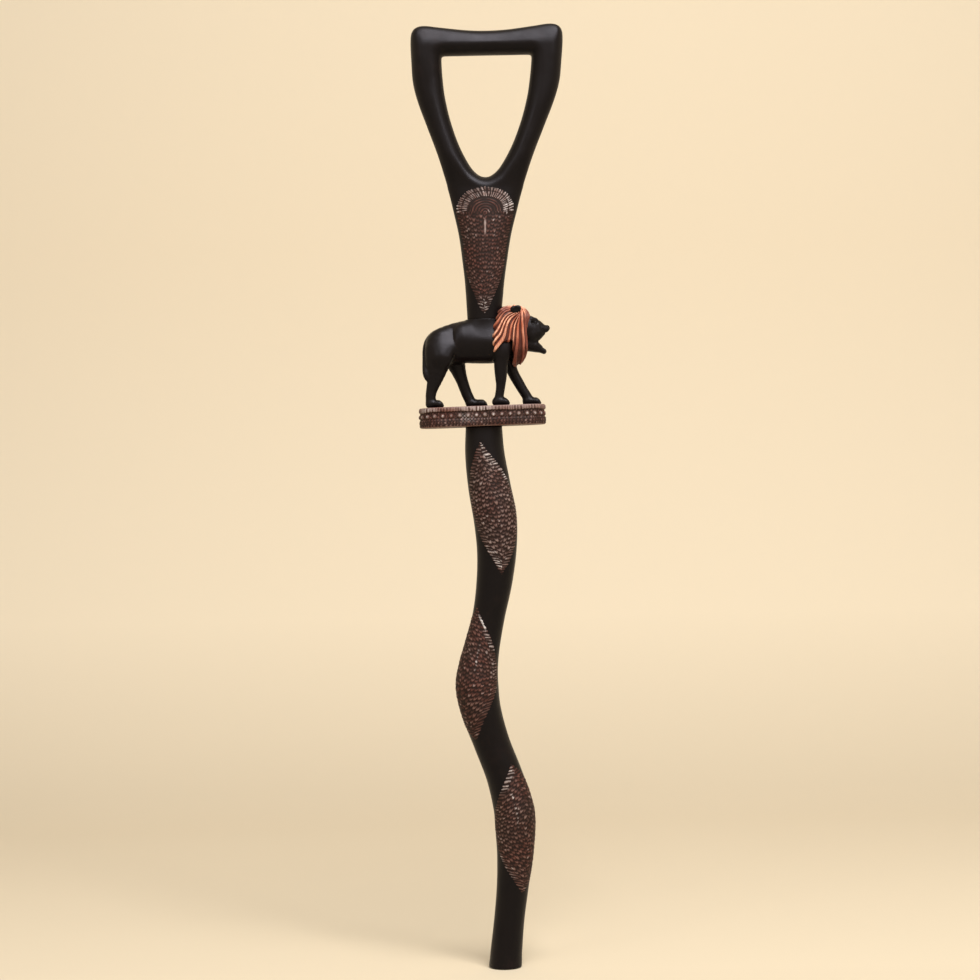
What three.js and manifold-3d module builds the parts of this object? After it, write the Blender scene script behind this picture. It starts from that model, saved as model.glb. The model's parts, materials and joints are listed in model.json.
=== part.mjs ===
// Walking stick of black-finished hardwood: a stirrup handle, a lion that strides on a bossed plinth and carries
// the handle on its back, and a wavy shaft with three carved leaves. Pieces are doweled together.
// Millimetres. +Z runs up the stick, +X along the grip to the right, -Y faces the viewer.
// The origin is the middle of the cut face at the tip.
import * as THREE from 'three';
import { mergeVertices } from 'three/addons/utils/BufferGeometryUtils.js';
import Module from 'manifold-3d';

const wasm = await Module();
wasm.setup();

// Fits
const clearance = 0.3;
const overrun = 1.2;
const weld = 0.001;

// Shaft: a wavy round bar. Rows give height, sideways bend and thickness as shares of the three sizes.
const shaft = { length: 523.4, bend: 22, thickness: 42, depth: 40.4 };
const shaftSides = 20;
const shaftRings = 40;
const shaftShares = [
  [0.0, 0.0, 0.76],
  [0.03, 0.06, 0.73],
  [0.09, 0.22, 0.7],
  [0.147, 0.386, 0.738],
  [0.205, 0.52, 0.833],
  [0.265, 0.55, 0.935],
  [0.295, 0.49, 0.925],
  [0.355, 0.105, 0.843],
  [0.415, -0.415, 0.835],
  [0.475, -0.85, 0.925],
  [0.52, -1.0, 0.985],
  [0.555, -0.93, 0.91],
  [0.595, -0.735, 0.81],
  [0.65, -0.43, 0.75],
  [0.71, -0.16, 0.825],
  [0.77, -0.02, 0.915],
  [0.83, -0.06, 1.0],
  [0.89, -0.29, 0.98],
  [0.95, -0.46, 0.91],
  [1.0, -0.48, 0.84],
];

// Carved leaves on the shaft: each lies on the outside of a bend. The turn is measured from the front, + to the right,
// and the slant is the turn of the upper tip less that of the lower tip.
const leaf = { length: 127, tip: 0.8, proud: 0.6, sink: 2 };
const leafRows = 14;
const leafColumnTurn = 17;
const leaves = [
  { name: 'leaf_panel_lower', middleShare: 0.2553, lengthShare: 0.95, turn: 37, slant: -3, spread: 118 },
  { name: 'leaf_panel_middle', middleShare: 0.5445, lengthShare: 0.955, turn: -48, slant: -7, spread: 118 },
  { name: 'leaf_panel_upper', middleShare: 0.8493, lengthShare: 1, turn: 4, slant: -31, spread: 77 },
];

// Plinth: a bar with half-round ends under the lion. Rows give height and inset of its moulded edge.
const plinth = { length: 123, width: 45, thickness: 19.3, tilt: 1.05, offset: -0.9, edge: 1.6 };
const plinthArcSteps = 12;
const plinthSideSteps = 8;
const plinthEdgeShares = [
  [0.0, 0.9],
  [0.06, 0.2],
  [0.34, 0.0],
  [0.38, 0.5],
  [0.74, 0.5],
  [0.78, 0.0],
  [0.94, 0.1],
  [1.0, 0.7],
];
const boss = { radius: 2.1, heightShare: 0.55 };
const bossCount = 36;
const bossFacets = 6;

// Lion: shares of its length, width and height, measured from the middle of the plinth's top face.
const lion = { length: 124, width: 38, height: 97, seat: 84.2 };
const lionSides = 14;
const headSides = 12;
const limbSides = 10;
const tailSides = 8;
// Rings along each form
const rings = { trunk: 14, head: 11, jaw: 7, leg: 10, paw: 8, tail: 10, ruff: 9, bib: 6, lock: 4 };
// Power of each oval section: 2 is an ellipse, more is squarer, less is nearer to a diamond
const power = { round: 2, grip: 1.9, trunk: 2.5, head: 2.4, jaw: 2.2, paw: 2.6, ruff: 2.5 };
// x, z, half height, half width of the trunk from rump to chest
const trunkShares = [
  [-0.44, 0.62, 0.06, 0.14],
  [-0.425, 0.61, 0.12, 0.28],
  [-0.37, 0.6, 0.162, 0.38],
  [-0.28, 0.625, 0.18, 0.44],
  [-0.17, 0.643, 0.195, 0.45],
  [-0.04, 0.65, 0.216, 0.46],
  [0.07, 0.645, 0.222, 0.46],
  [0.16, 0.65, 0.222, 0.44],
  [0.24, 0.65, 0.2, 0.39],
  [0.31, 0.66, 0.15, 0.3],
  [0.34, 0.665, 0.09, 0.18],
];
// z, x, half length fore and aft, half width, side of the middle line, for each leg from the hip down
const legShares = {
  hind_near: [
    [0.7, -0.33, 0.06, 0.12, -0.2],
    [0.6, -0.34, 0.115, 0.22, -0.27],
    [0.46, -0.345, 0.102, 0.21, -0.29],
    [0.36, -0.36, 0.075, 0.18, -0.29],
    [0.27, -0.38, 0.056, 0.15, -0.29],
    [0.175, -0.4, 0.043, 0.125, -0.29],
    [0.09, -0.407, 0.041, 0.125, -0.29],
    [0.0, -0.402, 0.046, 0.14, -0.29],
  ],
  hind_far: [
    [0.7, -0.25, 0.06, 0.12, 0.2],
    [0.6, -0.245, 0.105, 0.22, 0.27],
    [0.46, -0.205, 0.09, 0.21, 0.29],
    [0.35, -0.178, 0.06, 0.18, 0.29],
    [0.26, -0.152, 0.047, 0.15, 0.29],
    [0.15, -0.127, 0.046, 0.13, 0.29],
    [0.07, -0.105, 0.048, 0.13, 0.29],
    [0.0, -0.09, 0.05, 0.14, 0.29],
  ],
  fore_near: [
    [0.72, 0.19, 0.06, 0.12, -0.22],
    [0.62, 0.18, 0.085, 0.2, -0.28],
    [0.51, 0.165, 0.072, 0.19, -0.29],
    [0.41, 0.152, 0.055, 0.16, -0.28],
    [0.3, 0.148, 0.048, 0.14, -0.27],
    [0.19, 0.144, 0.037, 0.12, -0.27],
    [0.1, 0.131, 0.036, 0.125, -0.27],
    [0.0, 0.127, 0.045, 0.14, -0.27],
  ],
  fore_far: [
    [0.72, 0.18, 0.06, 0.12, 0.22],
    [0.62, 0.19, 0.085, 0.2, 0.28],
    [0.48, 0.21, 0.07, 0.19, 0.29],
    [0.34, 0.243, 0.05, 0.15, 0.28],
    [0.25, 0.277, 0.045, 0.14, 0.27],
    [0.16, 0.31, 0.043, 0.125, 0.27],
    [0.08, 0.343, 0.045, 0.13, 0.27],
    [0.0, 0.37, 0.05, 0.14, 0.27],
  ],
};
// x of the heel and of the toes, and side of the middle line, for each paw
const pawShares = {
  hind_near: [-0.446, -0.302, -0.29],
  hind_far: [-0.136, 0.037, 0.29],
  fore_near: [0.069, 0.212, -0.27],
  fore_far: [0.31, 0.46, 0.27],
};
const paw = { height: 6.4, width: 12.5 };
// Along the paw: share of its length, half width share, height share
const pawFormShares = [
  [0.0, 0.45, 0.35],
  [0.1, 0.8, 0.75],
  [0.35, 0.95, 1.0],
  [0.65, 1.0, 0.95],
  [0.88, 0.92, 0.72],
  [1.0, 0.6, 0.35],
];
// x, z, half height, half width from the neck through the skull to the nose
const headShares = [
  [0.28, 0.72, 0.13, 0.3],
  [0.36, 0.745, 0.15, 0.33],
  [0.405, 0.738, 0.157, 0.32],
  [0.438, 0.722, 0.132, 0.28],
  [0.46, 0.735, 0.094, 0.24],
  [0.478, 0.754, 0.055, 0.22],
  [0.502, 0.76, 0.038, 0.21],
  [0.527, 0.752, 0.031, 0.2],
  [0.541, 0.746, 0.024, 0.17],
  [0.548, 0.744, 0.015, 0.11],
];
// The lower jaw, dropped open
const jawShares = [
  [0.33, 0.64, 0.1, 0.28],
  [0.41, 0.59, 0.06, 0.25],
  [0.453, 0.564, 0.055, 0.2],
  [0.475, 0.54, 0.04, 0.18],
  [0.497, 0.521, 0.026, 0.16],
  [0.51, 0.517, 0.02, 0.13],
  [0.516, 0.516, 0.013, 0.08],
];
// x, z, radius as a share of the width, side of the middle line, down the tail to its tuft
const tailShares = [
  [-0.38, 0.7, 0.05, 0.0],
  [-0.415, 0.65, 0.06, -0.05],
  [-0.432, 0.56, 0.062, -0.11],
  [-0.436, 0.46, 0.064, -0.19],
  [-0.434, 0.38, 0.084, -0.27],
  [-0.428, 0.32, 0.1, -0.32],
  [-0.418, 0.26, 0.05, -0.35],
];
const ear = { x: 35, side: 15, z: 90.5, radius: 4.2, root: 9 };
// Along the ear from its root: share of its length, share of its radius
const earShares = [
  [0.0, 1.0],
  [0.7, 1.0],
  [0.95, 0.8],
  [1.1, 0.35],
];

// Mane: a ruff of carved locks. x, z, half height and half width along the ruff, then the bib on the chest.
const maneLocks = 14;
const lockFacets = 3;
const maneDepth = 1.4;
const maneShares = [
  [0.095, 0.7, 0.12, 0.4],
  [0.12, 0.73, 0.17, 0.52],
  [0.19, 0.765, 0.225, 0.57],
  [0.28, 0.745, 0.252, 0.57],
  [0.345, 0.715, 0.25, 0.52],
  [0.38, 0.73, 0.205, 0.45],
  [0.396, 0.75, 0.16, 0.38],
];
const bibShares = [
  [0.62, 0.29, 0.09, 0.36],
  [0.52, 0.295, 0.085, 0.32],
  [0.44, 0.285, 0.06, 0.24],
  [0.38, 0.27, 0.028, 0.12],
];
const lockShares = [
  [0.76, 0.19, 0.07, 0.14],
  [0.68, 0.155, 0.055, 0.14],
  [0.61, 0.13, 0.034, 0.11],
  [0.56, 0.118, 0.012, 0.05],
];
const lockSide = 15.5;

// Handle: a ring of ribs round the hand hole, and the neck below it
const handle = { height: 285, width: 148, depth: 28, footOffset: -8, topOffset: 0 };
const handleSides = 14;
const ribSteps = 2;
// Inner x and z, outer x and z, depth. The first rib is at the crotch, the last at the middle of the bar.
const ribShares = [
  [0.0, 0.4825, 0.0, 0.37, 1.07],
  [0.095, 0.491, 0.27, 0.388, 1.07],
  [0.203, 0.521, 0.516, 0.468, 1.0],
  [0.345, 0.59, 0.627, 0.558, 0.95],
  [0.462, 0.674, 0.762, 0.65, 0.93],
  [0.539, 0.756, 0.892, 0.739, 0.93],
  [0.57, 0.816, 0.962, 0.807, 0.95],
  [0.585, 0.861, 0.986, 0.879, 0.98],
  [0.589, 0.886, 0.999, 0.942, 1.0],
  [0.581, 0.894, 0.986, 0.977, 1.0],
  [0.559, 0.8965, 0.926, 0.995, 1.0],
  [0.5, 0.897, 0.811, 1.0, 1.0],
  [0.378, 0.897, 0.595, 0.993, 1.0],
  [0.189, 0.897, 0.27, 0.983, 1.0],
  [0.0, 0.897, 0.0, 0.98, 1.0],
];
// Height, half width and depth of the neck, from its foot to the crotch
const neckShares = [
  [0.0, 0.222, 0.893],
  [0.045, 0.229, 0.95],
  [0.12, 0.257, 1.07],
  [0.2, 0.295, 1.15],
  [0.285, 0.343, 1.18],
  [0.367, 0.417, 1.13],
  [0.41, 0.457, 1.06],
  [0.447, 0.488, 1.0],
  [0.468, 0.493, 0.72],
  [0.479, 0.4, 0.35],
];
const neckRings = 18;

// Shield carved on the neck: its arch is at the top and its point at the bottom
const shield = { low: 6, high: 127, spread: 64, tip: 0.8, proud: 0.6, sink: 2 };
const shieldRows = 14;
const shieldColumns = 8;
const shieldShares = [
  [0.0, 0.0],
  [0.14, 0.46],
  [0.32, 0.9],
  [0.55, 0.95],
  [0.8, 1.0],
  [0.9, 0.74],
  [0.97, 0.4],
  [1.0, 0.0],
];

// Dowels
const neckDowel = { radius: 6, up: 27, down: 22 };
const shaftDowel = { radius: 7, up: 14, down: 36 };
const peg = { radius: 2.2, up: 7, down: 8 };
const pegShare = 0.4;
const dowelSides = 16;
const pegSides = 10;

// Colours
const blackWood = { color: 0x1b1817, roughness: 0.4, metalness: 0 };
const carvedWood = { color: 0x4a342b, roughness: 0.6, metalness: 0 };
const manePaint = { color: 0xa85f43, roughness: 0.55, metalness: 0 };
const paleWood = { color: 0xc49a68, roughness: 0.8, metalness: 0 };

const radians = THREE.MathUtils.degToRad;

// Reads a table at any value of its first column, on a smooth curve through its rows
function rowAt(table, key) {
  const last = table.length - 2;
  const found = table.findIndex((row) => row[0] > key) - 1;
  const i = found < 0 ? (key < table[0][0] ? 0 : last) : found;
  const before = table[Math.max(i - 1, 0)];
  const start = table[i];
  const end = table[i + 1];
  const after = table[Math.min(i + 2, table.length - 1)];
  const span = end[0] - start[0];
  const t = THREE.MathUtils.clamp((key - start[0]) / span, 0, 1);
  return start.map((value, column) => {
    const leave = ((end[column] - before[column]) / (end[0] - before[0])) * span;
    const arrive = ((after[column] - value) / (after[0] - start[0])) * span;
    const rise = end[column] - value;
    return value + t * (leave + t * (3 * rise - 2 * leave - arrive + t * (leave + arrive - 2 * rise)));
  });
}

// The rows of a table at evenly spaced places along it, by row number
function resample(table, steps) {
  const numbered = table.map((row, i) => [i, ...row]);
  return Array.from({ length: steps + 1 }, (_, i) => rowAt(numbered, (i / steps) * (table.length - 1)).slice(1));
}

// An oval ring of points round a centre
function oval(centre, across, up, sides, squareness = power.round) {
  const bulge = (value) => Math.sign(value) * Math.abs(value) ** (power.round / squareness);
  return Array.from({ length: sides }, (_, i) => {
    const angle = (2 * Math.PI * i) / sides;
    return centre
      .clone()
      .addScaledVector(across, bulge(Math.cos(angle)))
      .addScaledVector(up, bulge(Math.sin(angle)));
  });
}

// A closed skin over sections, rings of points with the same count, with flat ends or joined round in a loop
function loft(sections, looped = false) {
  const sides = sections[0].length;
  const points = sections.flat();
  const index = [];
  const bands = looped ? sections.length : sections.length - 1;
  for (let i = 0; i < bands; i++) {
    const low = i * sides;
    const high = ((i + 1) % sections.length) * sides;
    for (let j = 0; j < sides; j++) {
      const next = (j + 1) % sides;
      index.push(low + j, low + next, high + next, low + j, high + next, high + j);
    }
  }
  if (!looped) {
    for (const ring of [sections[0], sections[sections.length - 1]]) {
      const first = ring === sections[0] ? 0 : (sections.length - 1) * sides;
      const middle = points.length;
      points.push(ring.reduce((sum, point) => sum.add(point), new THREE.Vector3()).divideScalar(sides));
      for (let j = 0; j < sides; j++) {
        const pair = [first + ((j + 1) % sides), first + j];
        index.push(middle, ...(first === 0 ? pair : pair.reverse()));
      }
    }
  }
  const geometry = new THREE.BufferGeometry().setFromPoints(points);
  geometry.setIndex(index);
  return geometry;
}

// Six times the volume inside a triangle mesh: negative where its faces point inwards
function signedVolume(position, index) {
  const corner = (k) => new THREE.Vector3(position[3 * k], position[3 * k + 1], position[3 * k + 2]);
  let sum = 0;
  for (let i = 0; i < index.length; i += 3) {
    sum += corner(index[i]).dot(corner(index[i + 1]).cross(corner(index[i + 2])));
  }
  return sum;
}

// A three.js geometry as a solid that can be joined and cut
function solid(geometry) {
  const bare = geometry.clone();
  bare.deleteAttribute('normal');
  bare.deleteAttribute('uv');
  const merged = mergeVertices(bare);
  const vertProperties = Float32Array.from(merged.attributes.position.array);
  const triVerts = Uint32Array.from(merged.index.array);
  if (signedVolume(vertProperties, triVerts) < 0) triVerts.reverse();
  return new wasm.Manifold(new wasm.Mesh({ numProp: 3, vertProperties, triVerts }));
}

function join(solids) {
  return solids.reduce((whole, next) => whole.add(next));
}

// A solid's skin, with corners that lie within a hair of each other welded and their empty triangles dropped
function toGeometry(manifold) {
  const { vertProperties, triVerts } = manifold.getMesh();
  const skin = new THREE.BufferGeometry();
  skin.setAttribute('position', new THREE.BufferAttribute(vertProperties, 3));
  skin.setIndex(new THREE.BufferAttribute(triVerts, 1));
  const geometry = mergeVertices(skin, weld);
  const corners = geometry.index.array;
  const kept = [];
  for (let i = 0; i < corners.length; i += 3) {
    const [a, b, c] = corners.slice(i, i + 3);
    if (a !== b && b !== c && c !== a) kept.push(a, b, c);
  }
  geometry.setIndex(kept);
  geometry.computeVertexNormals();
  return geometry;
}

function piece(name, manifold, finish) {
  const mesh = new THREE.Mesh(toGeometry(manifold), new THREE.MeshStandardMaterial(finish));
  mesh.name = name;
  return mesh;
}

// A round pin or bore along Z between two heights
function pin(radius, low, high, sides) {
  const geometry = new THREE.CylinderGeometry(radius, radius, high - low, sides);
  geometry.rotateX(Math.PI / 2);
  geometry.translate(0, 0, (low + high) / 2);
  return geometry;
}

// Shaft

const frontWays = new THREE.Vector3(0, -1, 0);

// The middle of the shaft at a height, the direction across it in its own plane, and its half sizes
function shaftSection(height) {
  const step = 1 / shaftRings;
  const share = height / shaft.length;
  const [, bend, thickness] = rowAt(shaftShares, share);
  const above = rowAt(shaftShares, Math.min(share + step, 1));
  const below = rowAt(shaftShares, Math.max(share - step, 0));
  let lean = Math.atan2((above[1] - below[1]) * shaft.bend, (above[0] - below[0]) * shaft.length);
  if (share <= 0) lean = 0;
  if (share >= 1) lean = -radians(plinth.tilt);
  return {
    centre: new THREE.Vector3(bend * shaft.bend, 0, height),
    across: new THREE.Vector3(Math.cos(lean), 0, -Math.sin(lean)),
    halfWidth: (thickness * shaft.thickness) / 2,
    halfDepth: (thickness * shaft.depth) / 2,
  };
}

// A point on the shaft's skin, at a turn from the front and a distance outside it
function onShaft(turn, height, outside) {
  const { centre, across, halfWidth, halfDepth } = shaftSection(height);
  return centre
    .addScaledVector(across, (halfWidth + outside) * Math.sin(turn))
    .addScaledVector(frontWays, (halfDepth + outside) * Math.cos(turn));
}

function shaftBody() {
  const sections = Array.from({ length: shaftRings + 1 }, (_, i) => {
    const { centre, across, halfWidth, halfDepth } = shaftSection((shaft.length * i) / shaftRings);
    const wide = across.multiplyScalar(halfWidth);
    return oval(centre, wide, frontWays.clone().multiplyScalar(halfDepth), shaftSides);
  });
  return solid(loft(sections));
}

// A carved field let into a skin: nested ridges on top, and a floor below. A pocket is the same field, grown.
function field(skin, outline, grow, top, floor, rows, columns) {
  const sections = Array.from({ length: rows + 1 }, (_, i) => {
    const share = i / rows;
    const height = THREE.MathUtils.lerp(outline.low - grow, outline.high + grow, share);
    const reach = outline.halfTurn(share) + (outline.tip + grow) / outline.radius;
    const middle = outline.turn + outline.slant * (share - 0.5);
    const turns = Array.from({ length: columns + 1 }, (_, j) => middle + reach * ((2 * j) / columns - 1));
    const above = turns.map((turn, j) => skin(turn, height, top(j)));
    const below = turns.filter((_, j) => j % 2 === 0).reverse().map((turn) => skin(turn, height, floor));
    return [...above, ...below];
  });
  return solid(loft(sections));
}

function leafField(spec, grow, top, floor) {
  const middle = spec.middleShare * shaft.length;
  const length = spec.lengthShare * leaf.length;
  const outline = {
    low: middle - length / 2,
    high: middle + length / 2,
    turn: radians(spec.turn),
    slant: radians(spec.slant),
    radius: shaft.thickness / 2,
    tip: leaf.tip,
    halfTurn: (share) => radians(spec.spread) * Math.sin(Math.PI * share),
  };
  const columns = 2 * Math.ceil(spec.spread / leafColumnTurn);
  return field(onShaft, outline, grow, top, floor, leafRows, columns);
}

function leafPanel(spec) {
  return leafField(spec, 0, (column) => leaf.proud * (column % 2), -leaf.sink);
}

function leafPocket(spec) {
  return leafField(spec, clearance, () => overrun, -leaf.sink - clearance);
}

// Figure: everything on the plinth is placed together, tilted with it

const shaftTop = shaftSection(shaft.length).centre;
const figure = new THREE.Group();
figure.position.set(shaftTop.x, 0, shaftTop.z + clearance);
figure.rotation.y = -radians(plinth.tilt);
figure.updateMatrixWorld();

function inFigure(geometry) {
  return geometry.clone().applyMatrix4(figure.matrixWorld.clone().invert());
}

const soles = plinth.thickness + clearance;

function plinthOutline(inset, height) {
  const radius = plinth.width / 2 - inset;
  const middle = (plinth.length - plinth.width) / 2;
  const ring = [];
  for (const end of [1, -1]) {
    for (let i = 0; i <= plinthArcSteps; i++) {
      const angle = -Math.PI / 2 + (Math.PI * i) / plinthArcSteps;
      const x = plinth.offset + end * (middle + radius * Math.cos(angle));
      ring.push(new THREE.Vector3(x, end * radius * Math.sin(angle), height));
    }
    for (let i = 1; i < plinthSideSteps; i++) {
      const x = plinth.offset + end * (middle - (2 * middle * i) / plinthSideSteps);
      ring.push(new THREE.Vector3(x, end * radius, height));
    }
  }
  return ring;
}

// A place on the plinth's rim, as a share of the way round, with the direction out of it
function onRim(share) {
  const radius = plinth.width / 2 - plinth.edge / 2;
  const middle = (plinth.length - plinth.width) / 2;
  const arc = Math.PI * radius;
  const half = arc + 2 * middle;
  const end = share < 0.5 ? 1 : -1;
  const run = (share % 0.5) * 2 * half;
  const angle = -Math.PI / 2 + Math.min(run, arc) / radius;
  const past = Math.max(run - arc, 0);
  const out = new THREE.Vector3(end * Math.cos(angle), end * Math.sin(angle), 0);
  const place = out.clone().multiplyScalar(radius);
  place.x += plinth.offset + end * (middle - past);
  return { place, out };
}

function plinthBody() {
  const sections = plinthEdgeShares.map(([height, inset]) =>
    plinthOutline(inset * plinth.edge, height * plinth.thickness));
  const bosses = Array.from({ length: bossCount }, (_, i) => {
    const { place } = onRim((i + 0.5) / bossCount);
    const ball = new THREE.SphereGeometry(boss.radius, bossFacets, bossFacets / 2);
    ball.rotateX(Math.PI / 2);
    ball.translate(place.x, place.y, boss.heightShare * plinth.thickness);
    return solid(ball);
  });
  return join([solid(loft(sections)), ...bosses]);
}

// A tapering limb through rows of centre and half axis vectors, grown all round where it is to cut a neighbour
function limbSkin(rows, grow, sides, squareness) {
  const sections = rows.map(({ centre, across, up }) => {
    const wide = across.clone().setLength(across.length() + grow);
    const tall = up.clone().setLength(up.length() + grow);
    return oval(centre, wide, tall, sides, squareness);
  });
  return loft(sections);
}

function limb(rows, grow, sides, squareness) {
  return solid(limbSkin(rows, grow, sides, squareness));
}

// Sections that stand across the lion's length, used for trunk, head, jaw and mane
function standing([x, z, halfHeight, halfWidth]) {
  return {
    centre: new THREE.Vector3(x * lion.length, 0, soles + z * lion.height),
    across: new THREE.Vector3(0, halfWidth * lion.width, 0),
    up: new THREE.Vector3(0, 0, halfHeight * lion.height),
  };
}

// Sections that lie level, used for legs and locks
function level([z, x, halfLength, halfWidth, side = 0]) {
  return {
    centre: new THREE.Vector3(x * lion.length, side * lion.width, soles + z * lion.height),
    across: new THREE.Vector3(halfLength * lion.length, 0, 0),
    up: new THREE.Vector3(0, halfWidth * lion.width, 0),
  };
}

function pawForm(name) {
  const [heel, toes, side] = pawShares[name];
  const rows = resample(pawFormShares, rings.paw).map(([along, halfWidth, height]) => ({
    centre: new THREE.Vector3(THREE.MathUtils.lerp(heel, toes, along) * lion.length, side * lion.width, soles),
    across: new THREE.Vector3(0, (halfWidth * paw.width) / 2, 0),
    up: new THREE.Vector3(0, 0, height * paw.height),
  }));
  return limb(rows, 0, limbSides, power.paw);
}

function earForm(side, grow) {
  const tip = new THREE.Vector3(ear.x, side * ear.side, soles + ear.z);
  const root = new THREE.Vector3(ear.x + ear.root / 2, side * (ear.side - ear.root), soles + ear.z - 2 * ear.root);
  const along = tip.clone().sub(root).normalize();
  const across = new THREE.Vector3(1, 0, 0);
  const up = across.clone().cross(along).normalize();
  const rows = earShares.map(([share, size]) => ({
    centre: root.clone().lerp(tip, share),
    across: across.clone().multiplyScalar(ear.radius * size),
    up: up.clone().multiplyScalar(ear.radius * size),
  }));
  return limb(rows, grow, limbSides, power.round);
}

function tailForm() {
  const rows = resample(tailShares, rings.tail).map(([x, z, radius, side]) => ({
    centre: new THREE.Vector3(x * lion.length, side * lion.width, soles + z * lion.height),
    across: new THREE.Vector3(radius * lion.width, 0, 0),
    up: new THREE.Vector3(0, radius * lion.width, 0),
  }));
  return limb(rows, 0, tailSides, power.round);
}

function legForm(name, grow) {
  return limb(resample(legShares[name], rings.leg).map(level), grow, limbSides, power.round);
}

// The parts of the lion that the mane lies on, grown by a clearance where they cut it
function foreForms(grow) {
  return [
    limb(resample(trunkShares, rings.trunk).map(standing), grow, lionSides, power.trunk),
    limb(resample(headShares, rings.head).map(standing), grow, headSides, power.head),
    limb(resample(jawShares, rings.jaw).map(standing), grow, limbSides, power.jaw),
    legForm('fore_near', grow),
    legForm('fore_far', grow),
    earForm(-1, grow),
    earForm(1, grow),
  ];
}

function pawMiddle(name) {
  const [heel, toes, side] = pawShares[name];
  return [THREE.MathUtils.lerp(heel, toes, pegShare) * lion.length, side * lion.width];
}

function pawPeg(name, grow, low, high) {
  const geometry = pin(peg.radius + grow, low, high, pegSides);
  const [x, y] = pawMiddle(name);
  geometry.translate(x, y, 0);
  return solid(geometry);
}

const pawNames = Object.keys(pawShares);

// Handle

const handleFoot = shaftTop.z + plinth.thickness + lion.seat + 3 * clearance;

function handleMiddle(share) {
  return THREE.MathUtils.lerp(handle.footOffset, handle.topOffset, share);
}

function neckSection(height) {
  const share = height / handle.height;
  const [, halfWidth, depth] = rowAt(neckShares, share);
  return {
    centre: new THREE.Vector3(handleMiddle(share), 0, handleFoot + height),
    across: new THREE.Vector3((halfWidth * handle.width) / 2, 0, 0),
    up: new THREE.Vector3(0, (-depth * handle.depth) / 2, 0),
  };
}

function neckSkin(grow) {
  const rows = resample(neckShares, neckRings).map(([share]) => neckSection(share * handle.height));
  return limbSkin(rows, grow, shaftSides, power.round);
}

// A point on the neck's skin, on its front or back face
function onNeck(face) {
  return (turn, height, outside) => {
    const { centre, across, up } = neckSection(height);
    const wide = (across.x + outside) * Math.sin(turn);
    const deep = (up.y - outside) * Math.cos(turn) * face;
    return centre.add(new THREE.Vector3(wide, deep, 0));
  };
}

function gripRing() {
  const left = ribShares.slice(1, -1).reverse().map(([ix, iz, ox, oz, depth]) => [-ix, iz, -ox, oz, depth]);
  const round = [...ribShares, ...left];
  const wrap = (i) => round[(i + round.length) % round.length];
  const table = Array.from({ length: round.length + 4 }, (_, i) => [i - 2, ...wrap(i - 2)]);
  const sections = Array.from({ length: round.length * ribSteps }, (_, i) => {
    const [, innerX, innerZ, outerX, outerZ, depth] = rowAt(table, i / ribSteps);
    const place = (x, z) =>
      new THREE.Vector3((x * handle.width) / 2 + handleMiddle(z), 0, handleFoot + z * handle.height);
    const inner = place(innerX, innerZ);
    const outer = place(outerX, outerZ);
    const across = outer.clone().sub(inner).multiplyScalar(0.5);
    const up = new THREE.Vector3(0, (depth * handle.depth) / 2, 0);
    return oval(inner.add(outer).multiplyScalar(0.5), across, up, handleSides, power.grip);
  });
  return solid(loft(sections, true));
}

function shieldField(face, grow, top, floor) {
  const outline = {
    low: shield.low,
    high: shield.high,
    turn: 0,
    slant: 0,
    radius: handle.depth / 2,
    tip: shield.tip,
    halfTurn: (share) => radians(shield.spread) * rowAt(shieldShares, share)[1],
  };
  return field(onNeck(face), outline, grow, top, floor, shieldRows, shieldColumns);
}

function shieldPanel(face) {
  return shieldField(face, 0, (column) => shield.proud * (column % 2), -shield.sink);
}

function shieldPocket(face) {
  return shieldField(face, clearance, () => overrun, -shield.sink - clearance);
}

function neckPin(grow) {
  const low = handleFoot - neckDowel.down - grow;
  const high = handleFoot + neckDowel.up + grow;
  const geometry = pin(neckDowel.radius + grow, low, high, dowelSides);
  geometry.translate(handle.footOffset, 0, 0);
  return geometry;
}

function shaftPin(grow) {
  const low = -clearance - shaftDowel.down - grow;
  return pin(shaftDowel.radius + grow, low, shaftDowel.up + grow, dowelSides);
}

// Pieces

const stick = new THREE.Group();

const grip = join([gripRing(), solid(neckSkin(0))])
  .subtract(shieldPocket(1))
  .subtract(shieldPocket(-1))
  .subtract(solid(neckPin(clearance)));
stick.add(piece('handle', grip, blackWood));
stick.add(piece('neck_panel_front', shieldPanel(1), carvedWood));
stick.add(piece('neck_panel_back', shieldPanel(-1), carvedWood));
stick.add(piece('neck_dowel', solid(neckPin(0)), paleWood));

const shaftSolid = leaves
  .reduce((whole, spec) => whole.subtract(leafPocket(spec)), shaftBody())
  .subtract(solid(shaftPin(clearance).applyMatrix4(figure.matrixWorld)));
stick.add(piece('shaft', shaftSolid, blackWood));
for (const spec of leaves) stick.add(piece(spec.name, leafPanel(spec), carvedWood));

const figurePieces = [];
figurePieces.push(piece('shaft_dowel', solid(shaftPin(0)), paleWood));

const pegBores = pawNames.map((name) =>
  pawPeg(name, clearance, plinth.thickness - peg.down - clearance, soles + peg.up + clearance));
const plinthSolid = [...pegBores, solid(shaftPin(clearance))].reduce((whole, cut) => whole.subtract(cut), plinthBody());
figurePieces.push(piece('plinth', plinthSolid, carvedWood));
for (const name of pawNames) {
  figurePieces.push(piece(`paw_peg_${name}`, pawPeg(name, 0, plinth.thickness - peg.down, soles + peg.up), paleWood));
}

// The neck's root on the lion's back: the same oval as the foot of the handle, cut flat under it
const seatHeight = handleFoot - clearance;
const rootSection = neckSection(0);

function rootForm(grow) {
  const heights = [seatHeight - 2 * neckDowel.radius, seatHeight + overrun];
  const rows = heights.map((z) => ({ ...rootSection, centre: rootSection.centre.clone().setZ(z) }));
  return solid(inFigure(limbSkin(rows, grow, shaftSides, power.round)));
}

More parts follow.
